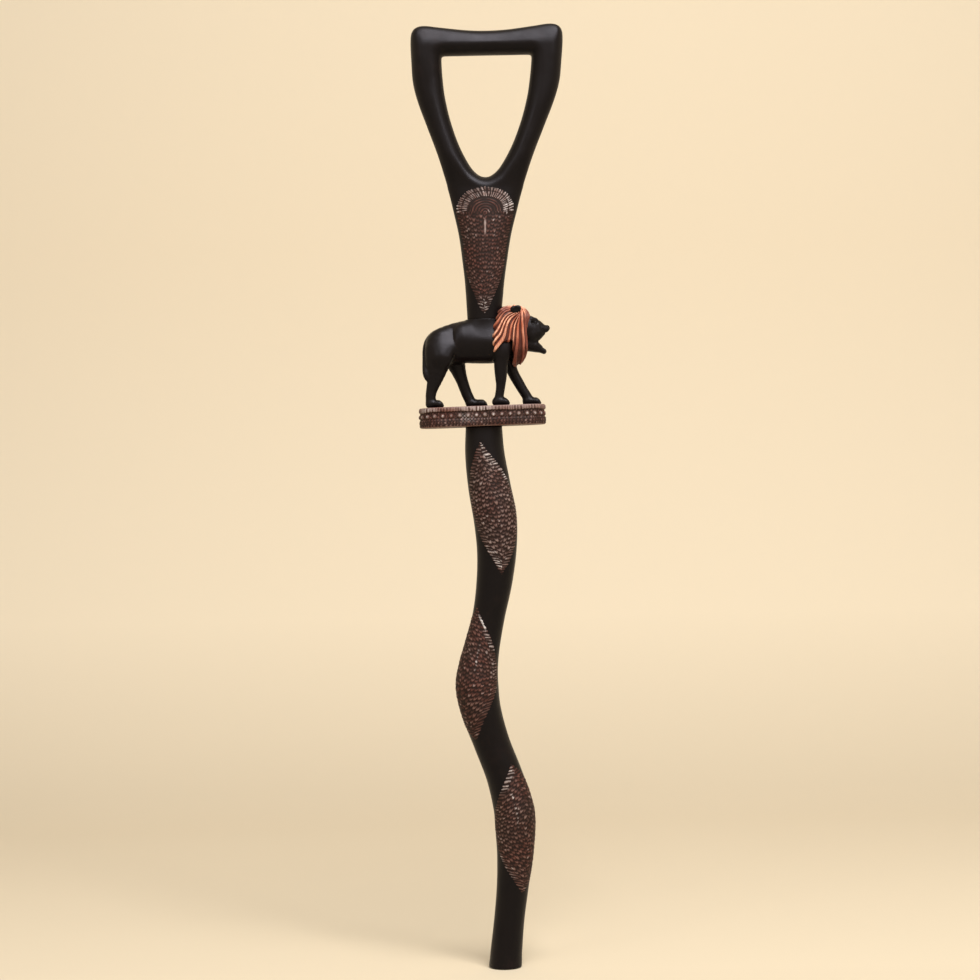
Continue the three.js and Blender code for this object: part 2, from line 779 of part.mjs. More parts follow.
const seatEdge = handle.footOffset + rootSection.across.x + overrun;
const aboveSeat = new THREE.BoxGeometry(lion.length, 2 * lion.width, lion.height);
aboveSeat.translate(seatEdge - lion.length / 2, 0, seatHeight + lion.height / 2);
const belowSoles = new THREE.BoxGeometry(2 * lion.length, 2 * lion.width, lion.height);
belowSoles.translate(0, 0, soles - lion.height / 2);

const lionForms = [
  ...foreForms(0),
  legForm('hind_near', 0),
  legForm('hind_far', 0),
  ...pawNames.map(pawForm),
  tailForm(),
  rootForm(0),
];
const lionSolid = [solid(inFigure(aboveSeat)), solid(belowSoles), solid(inFigure(neckPin(clearance))), ...pegBores]
  .reduce((whole, cut) => whole.subtract(cut), join(lionForms));
figurePieces.push(piece('lion', lionSolid, blackWood));

// The mane's locks are waves round each section
function lockRing({ centre, across, up }) {
  const sides = lockFacets * maneLocks;
  return oval(centre, across, up, sides, power.ruff).map((point, i) => {
    const out = point.clone().sub(centre);
    const wave = i % lockFacets === 0 ? -maneDepth : 0;
    return point.addScaledVector(out.normalize(), wave);
  });
}

const ruff = solid(loft(resample(maneShares, rings.ruff).map(standing).map(lockRing)));
const bib = limb(resample(bibShares, rings.bib).map(level), 0, lionSides, power.round);
const sideLocks = [-1, 1].map((side) => {
  const rows = resample(lockShares, rings.lock).map((row) => level([...row, (side * lockSide) / lion.width]));
  return limb(rows, 0, limbSides, power.round);
});
const maneSolid = [...foreForms(clearance), rootForm(clearance), solid(inFigure(neckSkin(clearance)))]
  .reduce((whole, cut) => whole.subtract(cut), join([ruff, bib, ...sideLocks]));
figurePieces.push(piece('mane', maneSolid, manePaint));

for (const mesh of figurePieces) figure.add(mesh);
stick.add(figure);

export default stick;
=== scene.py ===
# %% [markdown]
# # A carved walking stick
#
# The stick is dark hardwood, carved by hand. A stirrup handle stands on a neck with a carved shield, a
# roaring lion carries the neck on its back, the lion walks on a bossed plinth, and below the plinth a wavy
# shaft carries three carved leaves. The smooth wood is stained black and waxed; the carved fields are
# brown.
#
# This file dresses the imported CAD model. The sizes of the shaft, the leaves, the plinth and the handle are
# those that the CAD solids were made from, in millimetres, so each finished surface lies where its solid
# lies.

# %% Load the frame
import json
import math

import bpy
import numpy as np
from mathutils import Matrix, Vector


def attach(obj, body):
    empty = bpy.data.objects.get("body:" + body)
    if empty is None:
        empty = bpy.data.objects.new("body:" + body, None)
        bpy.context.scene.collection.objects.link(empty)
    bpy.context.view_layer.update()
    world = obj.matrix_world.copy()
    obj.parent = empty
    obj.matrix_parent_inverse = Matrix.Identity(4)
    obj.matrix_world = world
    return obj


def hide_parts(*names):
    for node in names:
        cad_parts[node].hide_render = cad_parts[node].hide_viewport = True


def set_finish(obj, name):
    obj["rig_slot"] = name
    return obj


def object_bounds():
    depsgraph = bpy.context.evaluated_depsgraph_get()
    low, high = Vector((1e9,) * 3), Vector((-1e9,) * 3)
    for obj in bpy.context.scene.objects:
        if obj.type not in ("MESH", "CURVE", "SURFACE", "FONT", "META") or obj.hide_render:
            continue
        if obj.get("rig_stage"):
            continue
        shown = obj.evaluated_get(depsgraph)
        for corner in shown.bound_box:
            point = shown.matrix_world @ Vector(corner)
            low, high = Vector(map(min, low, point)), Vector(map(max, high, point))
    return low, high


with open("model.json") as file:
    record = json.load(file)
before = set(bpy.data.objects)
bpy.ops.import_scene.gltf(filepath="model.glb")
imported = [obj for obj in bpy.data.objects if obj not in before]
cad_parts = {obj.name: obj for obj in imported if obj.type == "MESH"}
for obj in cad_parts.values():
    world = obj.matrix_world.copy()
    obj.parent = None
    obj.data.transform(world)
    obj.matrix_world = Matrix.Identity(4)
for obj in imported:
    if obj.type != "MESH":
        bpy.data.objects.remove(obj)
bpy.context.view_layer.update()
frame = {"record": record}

# %% [markdown]
# ## Tools for surfaces
#
# Carving is all curves, so each piece is worked out with numpy. A table gives measured rows along the
# piece, and a smooth curve through the rows gives any place between them. A grid of points then becomes a
# mesh in one step.

# %% Read a table on a smooth curve
MM = 0.001


def read_table(table, key):
    """Values of a table at keys of its first column. Formula: a cubic through each pair of rows whose slope
    at a row is the slope of the line through its two neighbours."""
    table = np.asarray(table, float)
    key = np.asarray(key, float)
    keys = table[:, 0]
    last = len(keys) - 1
    i = np.clip(np.searchsorted(keys, key, side="right") - 1, 0, last - 1)
    before, after = np.maximum(i - 1, 0), np.minimum(i + 2, last)
    span = keys[i + 1] - keys[i]
    t = np.clip((key - keys[i]) / span, 0, 1)[..., None]
    start, end = table[i, 1:], table[i + 1, 1:]
    leave = (end - table[before, 1:]) * (span / (keys[i + 1] - keys[before]))[..., None]
    arrive = (table[after, 1:] - start) * (span / (keys[after] - keys[i]))[..., None]
    rise = end - start
    return start + t * (leave + t * (3 * rise - 2 * leave - arrive + t * (leave + arrive - 2 * rise)))


def along_rows(table, steps):
    """Rows at evenly spaced places along a table, counted by row number."""
    table = np.asarray(table, float)
    numbered = np.column_stack([np.arange(len(table)), table])
    return read_table(numbered, np.linspace(0, len(table) - 1, steps))


# %% Turn points and faces into a piece
def smooth_mesh(name, points, faces):
    """A smooth shaded mesh object from points in metres and faces."""
    mesh = bpy.data.meshes.new(name)
    mesh.from_pydata(points, [], faces)
    mesh.polygons.foreach_set("use_smooth", np.ones(len(mesh.polygons), bool))
    made = bpy.data.objects.new(name, mesh)
    bpy.context.scene.collection.objects.link(made)
    return made


def make_piece(name, points_mm, faces, slot, nodes, values=None):
    """A piece from points in millimetres and faces, riding on the stick in place of CAD nodes. Values are
    floats per point that a material can read, such as how deep the carving is."""
    piece = smooth_mesh(name, np.asarray(points_mm, float) * MM, faces)
    mesh = piece.data
    for key, value in (values or {}).items():
        layer = mesh.attributes.new(key, "FLOAT", "POINT")
        layer.data.foreach_set("value", np.asarray(value, np.float32).ravel())
    mesh.validate()
    mesh.update()
    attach(piece, "root")
    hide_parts(*nodes)
    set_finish(piece, slot)
    print(name, len(mesh.vertices), "points", len(mesh.polygons), "faces")


def skin_faces(rows, columns, looped=False):
    """Quads between neighbouring rings of a grid. A ring closes on itself; rows end in caps or close too."""
    r = np.arange(rows if looped else rows - 1)[:, None]
    c = np.arange(columns)[None, :]
    a, b = r * columns + c, r * columns + (c + 1) % columns
    up = ((r + 1) % rows) * columns
    d, e = up + c, up + (c + 1) % columns
    quads = np.stack([a + 0 * d, b + 0 * d, e, d], -1).reshape(-1, 4).tolist()
    if looped:
        return quads
    low = list(range(columns))[::-1]
    high = [(rows - 1) * columns + k for k in range(columns)]
    return quads + [low, high]


def outward(points, faces):
    """The faces, turned round if their closed skin is inside out: then its signed volume is negative."""
    points = np.asarray(points, float)
    tris = np.array([(f[0], f[k], f[k + 1]) for f in faces for k in range(1, len(f) - 1)])
    a, b, c = points[tris[:, 0]], points[tris[:, 1]], points[tris[:, 2]]
    volume = np.einsum("ij,ij->i", a, np.cross(b, c)).sum()
    return faces if volume > 0 else [list(f)[::-1] for f in faces]


# %% [markdown]
# ## Camera
#
# The stick hangs a little crooked in the picture, by about one degree. The model stands straight, so the
# camera leans over by that angle instead.

# %% Camera
LEAN = math.radians(1.145)
DISTANCE = 2.1
VIEW_HEIGHT = 0.9506
LOOK_X, LOOK_Z = -0.0058, 0.4619
SENSOR = 36
camera_data = bpy.data.cameras.new("camera")
camera = bpy.data.objects.new("camera", camera_data)
bpy.context.scene.collection.objects.link(camera)
up = Vector((math.sin(LEAN), 0, math.cos(LEAN)))
forward = Vector((0, 1, 0))
side = forward.cross(up)
turned = Matrix((side, up, -forward)).transposed().to_4x4()
camera.matrix_world = Matrix.Translation((LOOK_X, -DISTANCE, LOOK_Z)) @ turned
camera_data.sensor_width = SENSOR
camera_data.lens = SENSOR * DISTANCE / VIEW_HEIGHT
camera_data.clip_end = 50
bpy.context.scene.camera = camera
print("lens", round(camera_data.lens, 2))

# %% [markdown]
# ## Clay: round shapes that flow into each other
#
# The handle and the lion have no edges. Their arms and legs flow together, as a rasp leaves them. Such a
# shape is easiest as a field: a number at every point of a block of space that is below zero inside the
# wood. Two forms join softly when the smaller of their two numbers is taken with a rounded corner. The skin
# is then the surface where the number is zero.

# %% A block of space
class Block:
    """Points on a cubic grid between two corners, in millimetres, with a field that starts far outside."""

    def __init__(self, low, high, cell):
        self.low = np.array(low, float)
        self.cell = cell
        self.count = np.ceil((np.array(high, float) - self.low) / cell).astype(int) + 1
        self.axes = [self.low[k] + cell * np.arange(self.count[k]) for k in range(3)]
        self.field = np.full(self.count, 20.0)

    def part(self, low, high):
        """Slices of the block that hold a smaller box, and the x, y and z of its points."""
        first = np.clip(np.floor((np.array(low) - self.low) / self.cell).astype(int), 0, self.count - 1)
        last = np.clip(np.ceil((np.array(high) - self.low) / self.cell).astype(int) + 1, 1, self.count)
        cut = tuple(slice(a, b) for a, b in zip(first, last))
        x, y, z = (axis[s] for axis, s in zip(self.axes, cut))
        return cut, x[:, None, None], y[None, :, None], z[None, None, :]


# %% Soft joins and limbs
def soft_union(a, b, reach):
    """The smaller of two fields, less a quarter of reach where both are equal, fading as they differ."""
    near = np.maximum(reach - np.abs(a - b), 0) / reach
    return np.minimum(a, b) - near ** 2 * reach / 4


def soft_cut(a, b, reach):
    """Field a with the inside of field b taken away, with a rounded edge."""
    return -soft_union(-a, b, reach)


def sausage(x, y, z, rows):
    """Distance, nearly, to a limb. Each row is x, y, z, radius in the plane of the walk and radius across
    it. Formula: the nearest place on each straight piece of the axis gives two radii, and the distance is
    how far the point lies outside that ellipse, times the local radius."""
    nearest = None
    for start, end in zip(rows[:-1], rows[1:]):
        ax, ay, az = end[:3] - start[:3]
        t = ((x - start[0]) * ax + (y - start[1]) * ay + (z - start[2]) * az) / (ax * ax + ay * ay + az * az)
        t = np.clip(t, 0, 1)
        plane = (x - start[0] - t * ax) ** 2 + (z - start[2] - t * az) ** 2
        across = (y - start[1] - t * ay) ** 2
        a, b = start[3] + t * (end[3] - start[3]), start[4] + t * (end[4] - start[4])
        size = np.sqrt(plane / a ** 2 + across / b ** 2)
        slope = np.sqrt(plane / a ** 4 + across / b ** 4)
        far = size * (size - 1) / np.maximum(slope, 1e-6)
        nearest = far if nearest is None else np.minimum(nearest, far)
    return nearest


def add_limb(block, rows, reach=3.0, steps=None, cut=False):
    """Joins a limb softly to a block's field, or cuts it away. Steps puts its rows on a smooth curve."""
    rows = np.array(rows, float)
    if steps:
        rows = along_rows(rows, steps)
    margin = rows[:, 3:5].max() + reach + 1
    where, x, y, z = block.part(rows[:, :3].min(0) - margin, rows[:, :3].max(0) + margin)
    join = soft_cut if cut else soft_union
    block.field[where] = join(block.field[where], sausage(x, y, z, rows), reach)


# %% The skin of a field
def field_skin(block):
    """Points and quads where a block's field is zero. Each cell of the grid that the skin crosses gets one
    point, the middle of the places where it crosses the cell's edges, and each grid edge that it crosses
    gets one quad of the four cells round it."""
    field = block.field
    inside = field < 0
    cells = tuple(n - 1 for n in field.shape)
    corners = sum(inside[i:i + cells[0], j:j + cells[1], k:k + cells[2]].astype(np.int8)
                  for i in (0, 1) for j in (0, 1) for k in (0, 1))
    active = np.argwhere((corners > 0) & (corners < 8))
    number = np.full(cells, -1)
    number[tuple(active.T)] = np.arange(len(active))
    total, hits = np.zeros((len(active), 3)), np.zeros(len(active))
    for axis in range(3):
        step = np.eye(3, dtype=int)[axis]
        others = [np.eye(3, dtype=int)[k] for k in range(3) if k != axis]
        for corner in (0 * step, others[0], others[1], others[0] + others[1]):
            a, b = field[tuple((active + corner).T)], field[tuple((active + corner + step).T)]
            crossed = (a < 0) != (b < 0)
            t = np.where(crossed, a / np.where(crossed, a - b, 1), 0)
            total += np.where(crossed[:, None], corner + t[:, None] * step, 0)
            hits += crossed
    points = block.low + block.cell * (active + total / hits[:, None])
    quads = []
    for axis in range(3):
        step = np.eye(3, dtype=int)[axis]
        u, v = np.eye(3, dtype=int)[(axis + 1) % 3], np.eye(3, dtype=int)[(axis + 2) % 3]
        near = inside[tuple(slice(None, -1) if k == axis else slice(1, -1) for k in range(3))]
        far = inside[tuple(slice(1, None) if k == axis else slice(1, -1) for k in range(3))]
        at = np.argwhere(near != far) + (1 - step)
        ring = np.stack([number[tuple((at - back).T)] for back in (0 * u, u, u + v, v)], 1)
        leaving = inside[tuple(at.T)]
        quads.append(np.where(leaving[:, None], ring, ring[:, ::-1]))
    return points, np.concatenate(quads)


def relax(points, quads, rounds):
    """Points eased towards the middle of their neighbours and then pushed back by nearly as much, which
    takes the steps of the grid out and keeps the size."""
    edges = np.concatenate([quads[:, [k, (k + 1) % 4]] for k in range(4)])
    edges = np.unique(np.sort(edges, 1), axis=0)
    count = np.bincount(edges.ravel(), minlength=len(points))[:, None]
    for share in [0.5, -0.52] * rounds:
        sums = [np.bincount(edges[:, 0], points[edges[:, 1], k], len(points)) +
                np.bincount(edges[:, 1], points[edges[:, 0], k], len(points)) for k in range(3)]
        points = points + share * (np.stack(sums, 1) / count - points)
    return points


# %% Distance to an outline
def outline_depth(x, z, outline):
    """How far points lie inside a closed outline of x and z, below zero outside. Formula: the least
    distance to any of its sides, with the sign of how often a ray to the right crosses it."""
    px, pz = np.broadcast_arrays(x, z)
    best, inside = np.full(px.shape, 1e9), np.zeros(px.shape, bool)
    for (ax, az), (bx, bz) in zip(outline, np.roll(outline, -1, 0)):
        dx, dz = bx - ax, bz - az
        t = np.clip(((px - ax) * dx + (pz - az) * dz) / (dx * dx + dz * dz + 1e-9), 0, 1)
        best = np.minimum(best, (px - ax - t * dx) ** 2 + (pz - az - t * dz) ** 2)
        crosses = (az > pz) != (bz > pz)
        inside ^= crosses & (px < ax + (pz - az) * dx / (dz if dz else 1e-9))
    return np.where(inside, 1, -1) * np.sqrt(best)


def smooth_loop(corners, steps):
    """A closed smooth curve through corners, steps points long."""
    corners = np.asarray(corners, float)
    wrapped = np.concatenate([corners[-2:], corners, corners[:3]])
    table = np.column_stack([np.arange(-2, len(corners) + 3), wrapped])
    return read_table(table, np.linspace(0, len(corners), steps, endpoint=False))


# %% [markdown]
# ## Handle
#
# The grip is a stirrup: a bar, two arms, and a neck that swells below the hand hole and thins towards the
# lion. It is one board, cut to its outline and then rounded over. That is how it is made here too: the
# depth at a place depends on how far the place is from the outline and from the edge of the hand hole.

# %% Handle outline
SHAFT_LENGTH, SHAFT_BEND, SHAFT_THICKNESS, SHAFT_DEPTH = 523.4, 22, 42, 40.4
PLINTH_LENGTH, PLINTH_WIDTH, PLINTH_THICKNESS, PLINTH_OFFSET = 123, 45, 19.3, -0.9
CLEARANCE = 0.3
SEAM = 1.2
SKIN = 0.08
TILT = math.radians(1.05)
SEAT = 84.2
HANDLE_HEIGHT, HANDLE_WIDTH, HANDLE_DEPTH = 285, 148, 28
HANDLE_FOOT = SHAFT_LENGTH + PLINTH_THICKNESS + SEAT + 3 * CLEARANCE
HANDLE_LEAN = 8
FOOT_ROOM = 60
OUTER = [(0.222, 0.0), (0.257, 0.12), (0.295, 0.2), (0.343, 0.285), (0.417, 0.367), (0.457, 0.41),
         (0.496, 0.447), (0.516, 0.468), (0.627, 0.558), (0.762, 0.65), (0.892, 0.739), (0.962, 0.807),
         (0.986, 0.879), (0.999, 0.942), (0.986, 0.977), (0.926, 0.995), (0.811, 1.0), (0.595, 0.993),
         (0.27, 0.983), (0.0, 0.98)]
HOLE = [(0.0, 0.4825), (0.095, 0.491), (0.203, 0.521), (0.345, 0.59), (0.462, 0.674), (0.539, 0.756),
        (0.57, 0.816), (0.585, 0.861), (0.589, 0.886), (0.581, 0.894), (0.559, 0.8965), (0.5, 0.897),
        (0.378, 0.897), (0.189, 0.897), (0.0, 0.897)]
NECK = [(0.0, 0.222, 0.893), (0.045, 0.229, 0.95), (0.12, 0.257, 1.07), (0.2, 0.295, 1.15),
        (0.285, 0.343, 1.18), (0.367, 0.417, 1.13), (0.41, 0.457, 1.06), (0.447, 0.49, 1.02)]
NECK_TOP = NECK[-1][0]


def handle_middle(height):
    """Where the middle of the handle is at a height above its foot, which lies 8 mm to the left."""
    return -HANDLE_LEAN * (1 - np.asarray(height) / HANDLE_HEIGHT)


def both_sides(half):
    """An outline of x and z in millimetres from shares of the right half, mirrored to the left."""
    half = np.asarray(half, float)
    inner = half[1:-1] if half[0, 0] == 0 else half[:-1]
    mirrored = inner[::-1] * [-1, 1]
    shares = np.concatenate([half, mirrored])
    z = shares[:, 1] * HANDLE_HEIGHT
    return np.stack([shares[:, 0] * (HANDLE_WIDTH / 2 - SKIN) + handle_middle(z), z], 1)


# %% Handle skin
BAR_TOP = [(0, 0.98), (0.27, 0.983), (0.595, 0.993), (0.811, 1.0), (0.926, 0.995), (1.1, 0.985)]
ARM_DEPTH = [(0, 1.0), (0.55, 0.99), (0.69, 0.93), (0.8, 0.95), (0.9, 1.0), (1.0, 1.0)]
ARM_ROUNDING, HOLE_ROUNDING, HOLE_ARM_MORE, BAR_LESS = 15.5, 11, 4.5, 3.2
FACET_TURN, FACET_DEPTH, FACET_BLEND = math.radians(22), 12.4, 2.0
ARM_FROM, ARM_FADE, BAR_FROM, BAR_FADE = 0.43, 0.14, 0.82, 0.07


def handle_field(block):
    """Formula: one minus the distance from the outline over the rounding there, one minus the distance from
    the hand hole over its rounding, and the depth over the half depth are the three sides of a box whose
    diagonal is 1 on the skin. A sloping plane then takes a long flat off the upper front and back of the
    bar."""
    x, y, z = block.axes[0][:, None], block.axes[1], block.axes[2][None, :]
    outer = along_rows(both_sides(OUTER), 260)
    outer = np.concatenate([outer[:1] - [0, FOOT_ROOM], outer, outer[-1:] - [0, FOOT_ROOM]])
    share = block.axes[2] / HANDLE_HEIGHT
    neck = read_table(NECK, np.clip(share, 0, NECK_TOP))
    arm = np.clip((share - ARM_FROM) / ARM_FADE, 0, 1)
    arm = arm * arm * (3 - 2 * arm)
    bar = np.clip((share - BAR_FROM) / BAR_FADE, 0, 1)
    rounding = (neck[:, 0] * HANDLE_WIDTH / 2) * (1 - arm) + ARM_ROUNDING * arm - BAR_LESS * bar
    depth = (neck[:, 1] * (1 - arm) + arm * read_table(ARM_DEPTH, share)[:, 0]) * HANDLE_DEPTH / 2
    hole_rounding = HOLE_ROUNDING + HOLE_ARM_MORE * arm - BAR_LESS * bar
    from_outline = 1 - outline_depth(x, z, outer) / rounding
    from_hole = 1 + outline_depth(x, z, smooth_loop(both_sides(HOLE), 200)) / hole_rounding
    flat = np.maximum(from_outline, 0) ** 2 + np.maximum(from_hole, 0) ** 2
    size = np.sqrt(flat[:, None, :] + (y[None, :, None] / depth) ** 2)
    foot = -SEAM - block.axes[2][None, None, :]
    body = (size - 1) * np.minimum(rounding, depth)
    top = read_table(BAR_TOP, np.abs(x[:, 0]) / HANDLE_WIDTH * 2)
    up = z - (top + HOLE[-1][1]) / 2 * HANDLE_HEIGHT
    facet = (up * math.sin(FACET_TURN))[:, None, :] + np.abs(y)[None, :, None] * math.cos(FACET_TURN)
    return np.maximum(soft_cut(body, FACET_DEPTH - facet, FACET_BLEND), foot)


# %% Handle piece
block = Block((-80, -19, -4), (80, 19, 290), 1.15)
block.field = handle_field(block)
points, quads = field_skin(block)
points = relax(points, quads, 3) + [0, 0, HANDLE_FOOT]
make_piece("handle_wood", points, quads.tolist(), "black_wood", ["handle"])

# %% [markdown]
# ## Shaft
#
# The shaft is a round bar that waves from side to side, thick in its bends and thin between them. It is a
# ring carried along a path: each ring stands square to the path and takes its size from the table.

# %% Shaft skin
SHAFT = [(0.0, 0.0, 0.76), (0.03, 0.06, 0.73), (0.09, 0.22, 0.7), (0.147, 0.386, 0.738),
         (0.205, 0.52, 0.833), (0.265, 0.55, 0.935), (0.295, 0.49, 0.925), (0.355, 0.105, 0.843),
         (0.415, -0.415, 0.835), (0.475, -0.85, 0.925), (0.52, -1.0, 0.985), (0.555, -0.93, 0.91),
         (0.595, -0.735, 0.81), (0.65, -0.43, 0.75), (0.71, -0.16, 0.825), (0.77, -0.02, 0.915),
         (0.83, -0.06, 1.0), (0.89, -0.29, 0.98), (0.95, -0.46, 0.91), (1.0, -0.48, 0.84)]
STEP, ENDS = 1 / 40, 0.03


def on_shaft(turn, height, outside):
    """Points of the shaft at turns from the front and heights, a distance outside the skin. Formula: the
    middle of the ring, plus sine of the turn across the path, plus cosine of the turn towards the front.
    The path's lean is taken over a step each way, and both ends of the shaft are cut square."""
    share = np.asarray(height, float) / SHAFT_LENGTH
    bend, thick = np.moveaxis(read_table(SHAFT, share), -1, 0)
    above, below = np.minimum(share + STEP, 1), np.maximum(share - STEP, 0)
    swing = read_table(SHAFT, above)[..., 0] - read_table(SHAFT, below)[..., 0]
    lean = np.arctan2(swing * SHAFT_BEND, (above - below) * SHAFT_LENGTH)
    lean = lean * np.clip(share / ENDS, 0, 1)
    near_top = np.clip((share - 0.97) / ENDS, 0, 1)
    lean = lean * (1 - near_top) - TILT * near_top
    wide = (thick * SHAFT_THICKNESS / 2 + outside) * np.sin(turn)
    front = (thick * SHAFT_DEPTH / 2 + outside) * np.cos(turn)
    x = bend * SHAFT_BEND + np.cos(lean) * wide
    return np.stack([x, -front, height - np.sin(lean) * wide], -1)


# %% Shaft piece
SIDES, RINGS = 112, 330
turns = np.linspace(0, 2 * np.pi, SIDES, endpoint=False)
inset = np.array([2.2, 1.0, 0.45, 0.12, 0])
heights = np.concatenate([[0, 0, 0.2, 0.6, 1], np.linspace(2.2, SHAFT_LENGTH, RINGS)])
outside = np.concatenate([-inset, np.zeros(RINGS)])
u, v = np.meshgrid(turns, heights)
points = on_shaft(u, v, outside[:, None])
points[-1] += [0, 0, SEAM]
points = points.reshape(-1, 3)
faces = outward(points, skin_faces(len(heights), SIDES))
make_piece("shaft_wood", points, faces, "black_wood", ["shaft"])

# %% [markdown]
# ## Carved leaves
#
# Each leaf is a lens-shaped field of short gouge cuts. A band of close strokes follows each edge, square to
# it, and inside the bands lie columns of small scales: arcs that stand up between the scoops, where the
# brown wood is rubbed paler. The ground between is dark. Here and there a crest is almost white: rubbed
# wood with a painted highlight, strongest along a few edges of each leaf.

# %% Gouge cuts
STROKE_PITCH, COLUMN = 2.7, 3.7
UNEVEN, BASE, RIDGE_HEIGHT, RIM_DROP = 0.14, 0.12, 0.5, 0.6


def wave(phase):
    """A smooth up and down between 0 and 1, one turn long."""
    return 0.5 - 0.5 * np.cos(2 * np.pi * phase)


def smooth_step(value, low, high):
    """From 0 below low to 1 above high, with a smooth start and end."""
    t = np.clip((value - low) / (high - low), 0, 1)
    return t * t * (3 - 2 * t)


def fine_noise(x, z, size):
    """A fixed unevenness between about -1 and 1: three crossed waves of unlike lengths and directions."""
    first = np.sin(x / size + 1.7 * np.sin(z / size * 0.53))
    second = np.sin(z / size * 1.37 + 1.3 * np.cos(x / size * 0.71))
    return (first + second + np.sin((x + z) / size * 0.61 + 2)) / 3


def by_number(first, second):
    """A fixed value between 0 and 1 for each pair of whole numbers, unlike its neighbours."""
    return np.modf(np.abs(np.sin(first * 12.9898 + second * 78.233) * 437.585))[0]


def strokes(depth, along, side, pitch):
    """Height from 0 to 1 of close ridges that stand square to the edge, a pitch apart."""
    jitter = 0.2 * np.sin(along * 0.37 + side) + 0.1 * np.sin(along * 1.13 + depth * 0.6)
    phase = along / pitch + jitter + 0.06 * depth
    tall = 0.5 + 0.5 * by_number(np.floor(phase + 0.5), side + 3)
    return (1 - wave(phase)) ** 1.2 * tall


def scales(depth, along, side, row_width, pitch):
    """Height from 0 to 1 of the arcs between scoops. Formula: in each column the place along it is pushed
    on by the square of the place across, which bends the ridges into arcs, and by its own share of a pitch
    in each column."""
    row = np.floor(depth / row_width)
    across = depth / row_width - row
    jitter = 0.35 * np.sin(row * 2.7 + along * 0.13) + 0.06 * np.sin(along * 0.83 + row * 5.1 + side)
    phase = along / pitch - 0.4 * (2 * across - 1) ** 2 + 3 * by_number(row, 5 + side) + jitter
    tall = 0.4 + 0.5 * by_number(np.floor(phase + 0.5), row + 9 * side)
    seam = smooth_step(np.abs(2 * across - 1), 0.45, 1)
    return (1 - wave(phase)) ** 0.9 * (1 - 0.6 * seam) * tall


def gouged(x, z, edge, ridge):
    """Ridges with a fine unevenness, and the height of the top: half a millimetre on a ridge, less where the
    rim falls off at the edge, and each ridge reaches a little way into the rim."""
    ridge = np.clip(ridge + UNEVEN * fine_noise(x, z, 1.3), 0, 1)
    rim = 1 - smooth_step(edge + 1.6 * ridge, 0.4, 1.5)
    return ridge, BASE + RIDGE_HEIGHT * ridge - RIM_DROP * rim


def patches_of(x, z):
    """A fixed value between 0 and 1 for each small slanting patch of the carving."""
    return by_number(np.floor(z / 1.9 + 0.3 * x), np.floor(x / 2.3))


def rare_spots(x, z, rare):
    """True in the few patches whose fixed value is above rare."""
    return by_number(np.floor(z / 3.1), np.floor(x / 2.6)) > rare


# %% A carved field on a skin
def carved_field(name, cad_node, skin, low, high, half_turn, turn, radius, carve, rows, columns, floor=1.1):
    """A thin closed solid let into a skin. Its top carries the carving, its underside lies in the wood.
    Carve gives the height of the top, how deep the cut is and how bright the pale marks are, rubbed wood
    with a painted highlight, from the place in millimetres across and up and the distance from the edge."""
    share = np.linspace(0, 1, rows)[:, None]
    across = np.linspace(-1, 1, columns)[None, :]
    reach = half_turn(share) + 0.8 / radius
    heights = low + (high - low) * share
    wide = reach * radius
    slope = np.gradient(wide[:, 0], heights[:, 0])[:, None]
    edge = wide * (1 - np.abs(across)) / np.sqrt(1 + slope ** 2)
    top, cut, glint = carve(across * wide, heights + 0 * across, edge, np.sign(across) + 0 * share)
    turns = turn(share) + across * reach
    above = skin(turns, heights + 0 * turns, top)
    coarse = slice(None, None, -4)
    below = skin(turns[:, coarse], heights + 0 * turns[:, coarse], -floor)
    rings = np.concatenate([above, below], 1)
    pad = below.shape[1]
    values = {"cut": np.concatenate([cut, np.ones((rows, pad))], 1),
              "glint": np.concatenate([glint, np.zeros((rows, pad))], 1)}
    points = rings.reshape(-1, 3)
    faces = outward(points, skin_faces(rows, rings.shape[1]))
    make_piece(name, points, faces, "carved_wood", [cad_node], values)


# %% Leaf tables
LEAF_LENGTH = 127
# Name, node, height of the middle, length, turn from the front, turn from lower to upper tip, spread. Then
# the pale marks, rubbed wood with a painted highlight: the edge they follow, 1 or -1, or 0 for a line; how
# far from that edge or from the leaf's middle they start and end; from and to as shares of the length from
# the lower tip; strength, where more than 1 adds an unbroken painted highlight.
LEAVES = [
    ("leaf_lower", "leaf_panel_lower", 0.2553, 0.95, 37, -3, 118,
     [(-1, 0.6, 7.5, 0.81, 0.98, 1.0), (0, -11.6, -9.6, 0.5, 0.80, 0.7), (-1, 0.5, 4, 0.10, 0.34, 0.35)]),
    ("leaf_middle", "leaf_panel_middle", 0.5445, 0.955, -48, -7, 118,
     [(1, 0.5, 2.8, 0.84, 0.96, 1.8), (1, 0.8, 7, 0.68, 0.86, 0.7), (0, 13.8, 15.8, 0.50, 0.75, 0.9),
      (1, 3, 14, 0.45, 0.72, 0.3)]),
    ("leaf_upper", "leaf_panel_upper", 0.8493, 1, 4, -31, 77,
     [(1, 0.6, 8.5, 0.80, 1.0, 1.0), (1, 0.6, 5, 0.62, 0.82, 0.8), (-1, 0.8, 9, 0.03, 0.22, 0.75),
      (1, 1, 6, 0.30, 0.62, 0.3), (1, 2, 30, 0.05, 0.95, 0.12), (-1, 2, 30, 0.05, 0.95, 0.12)]),
]


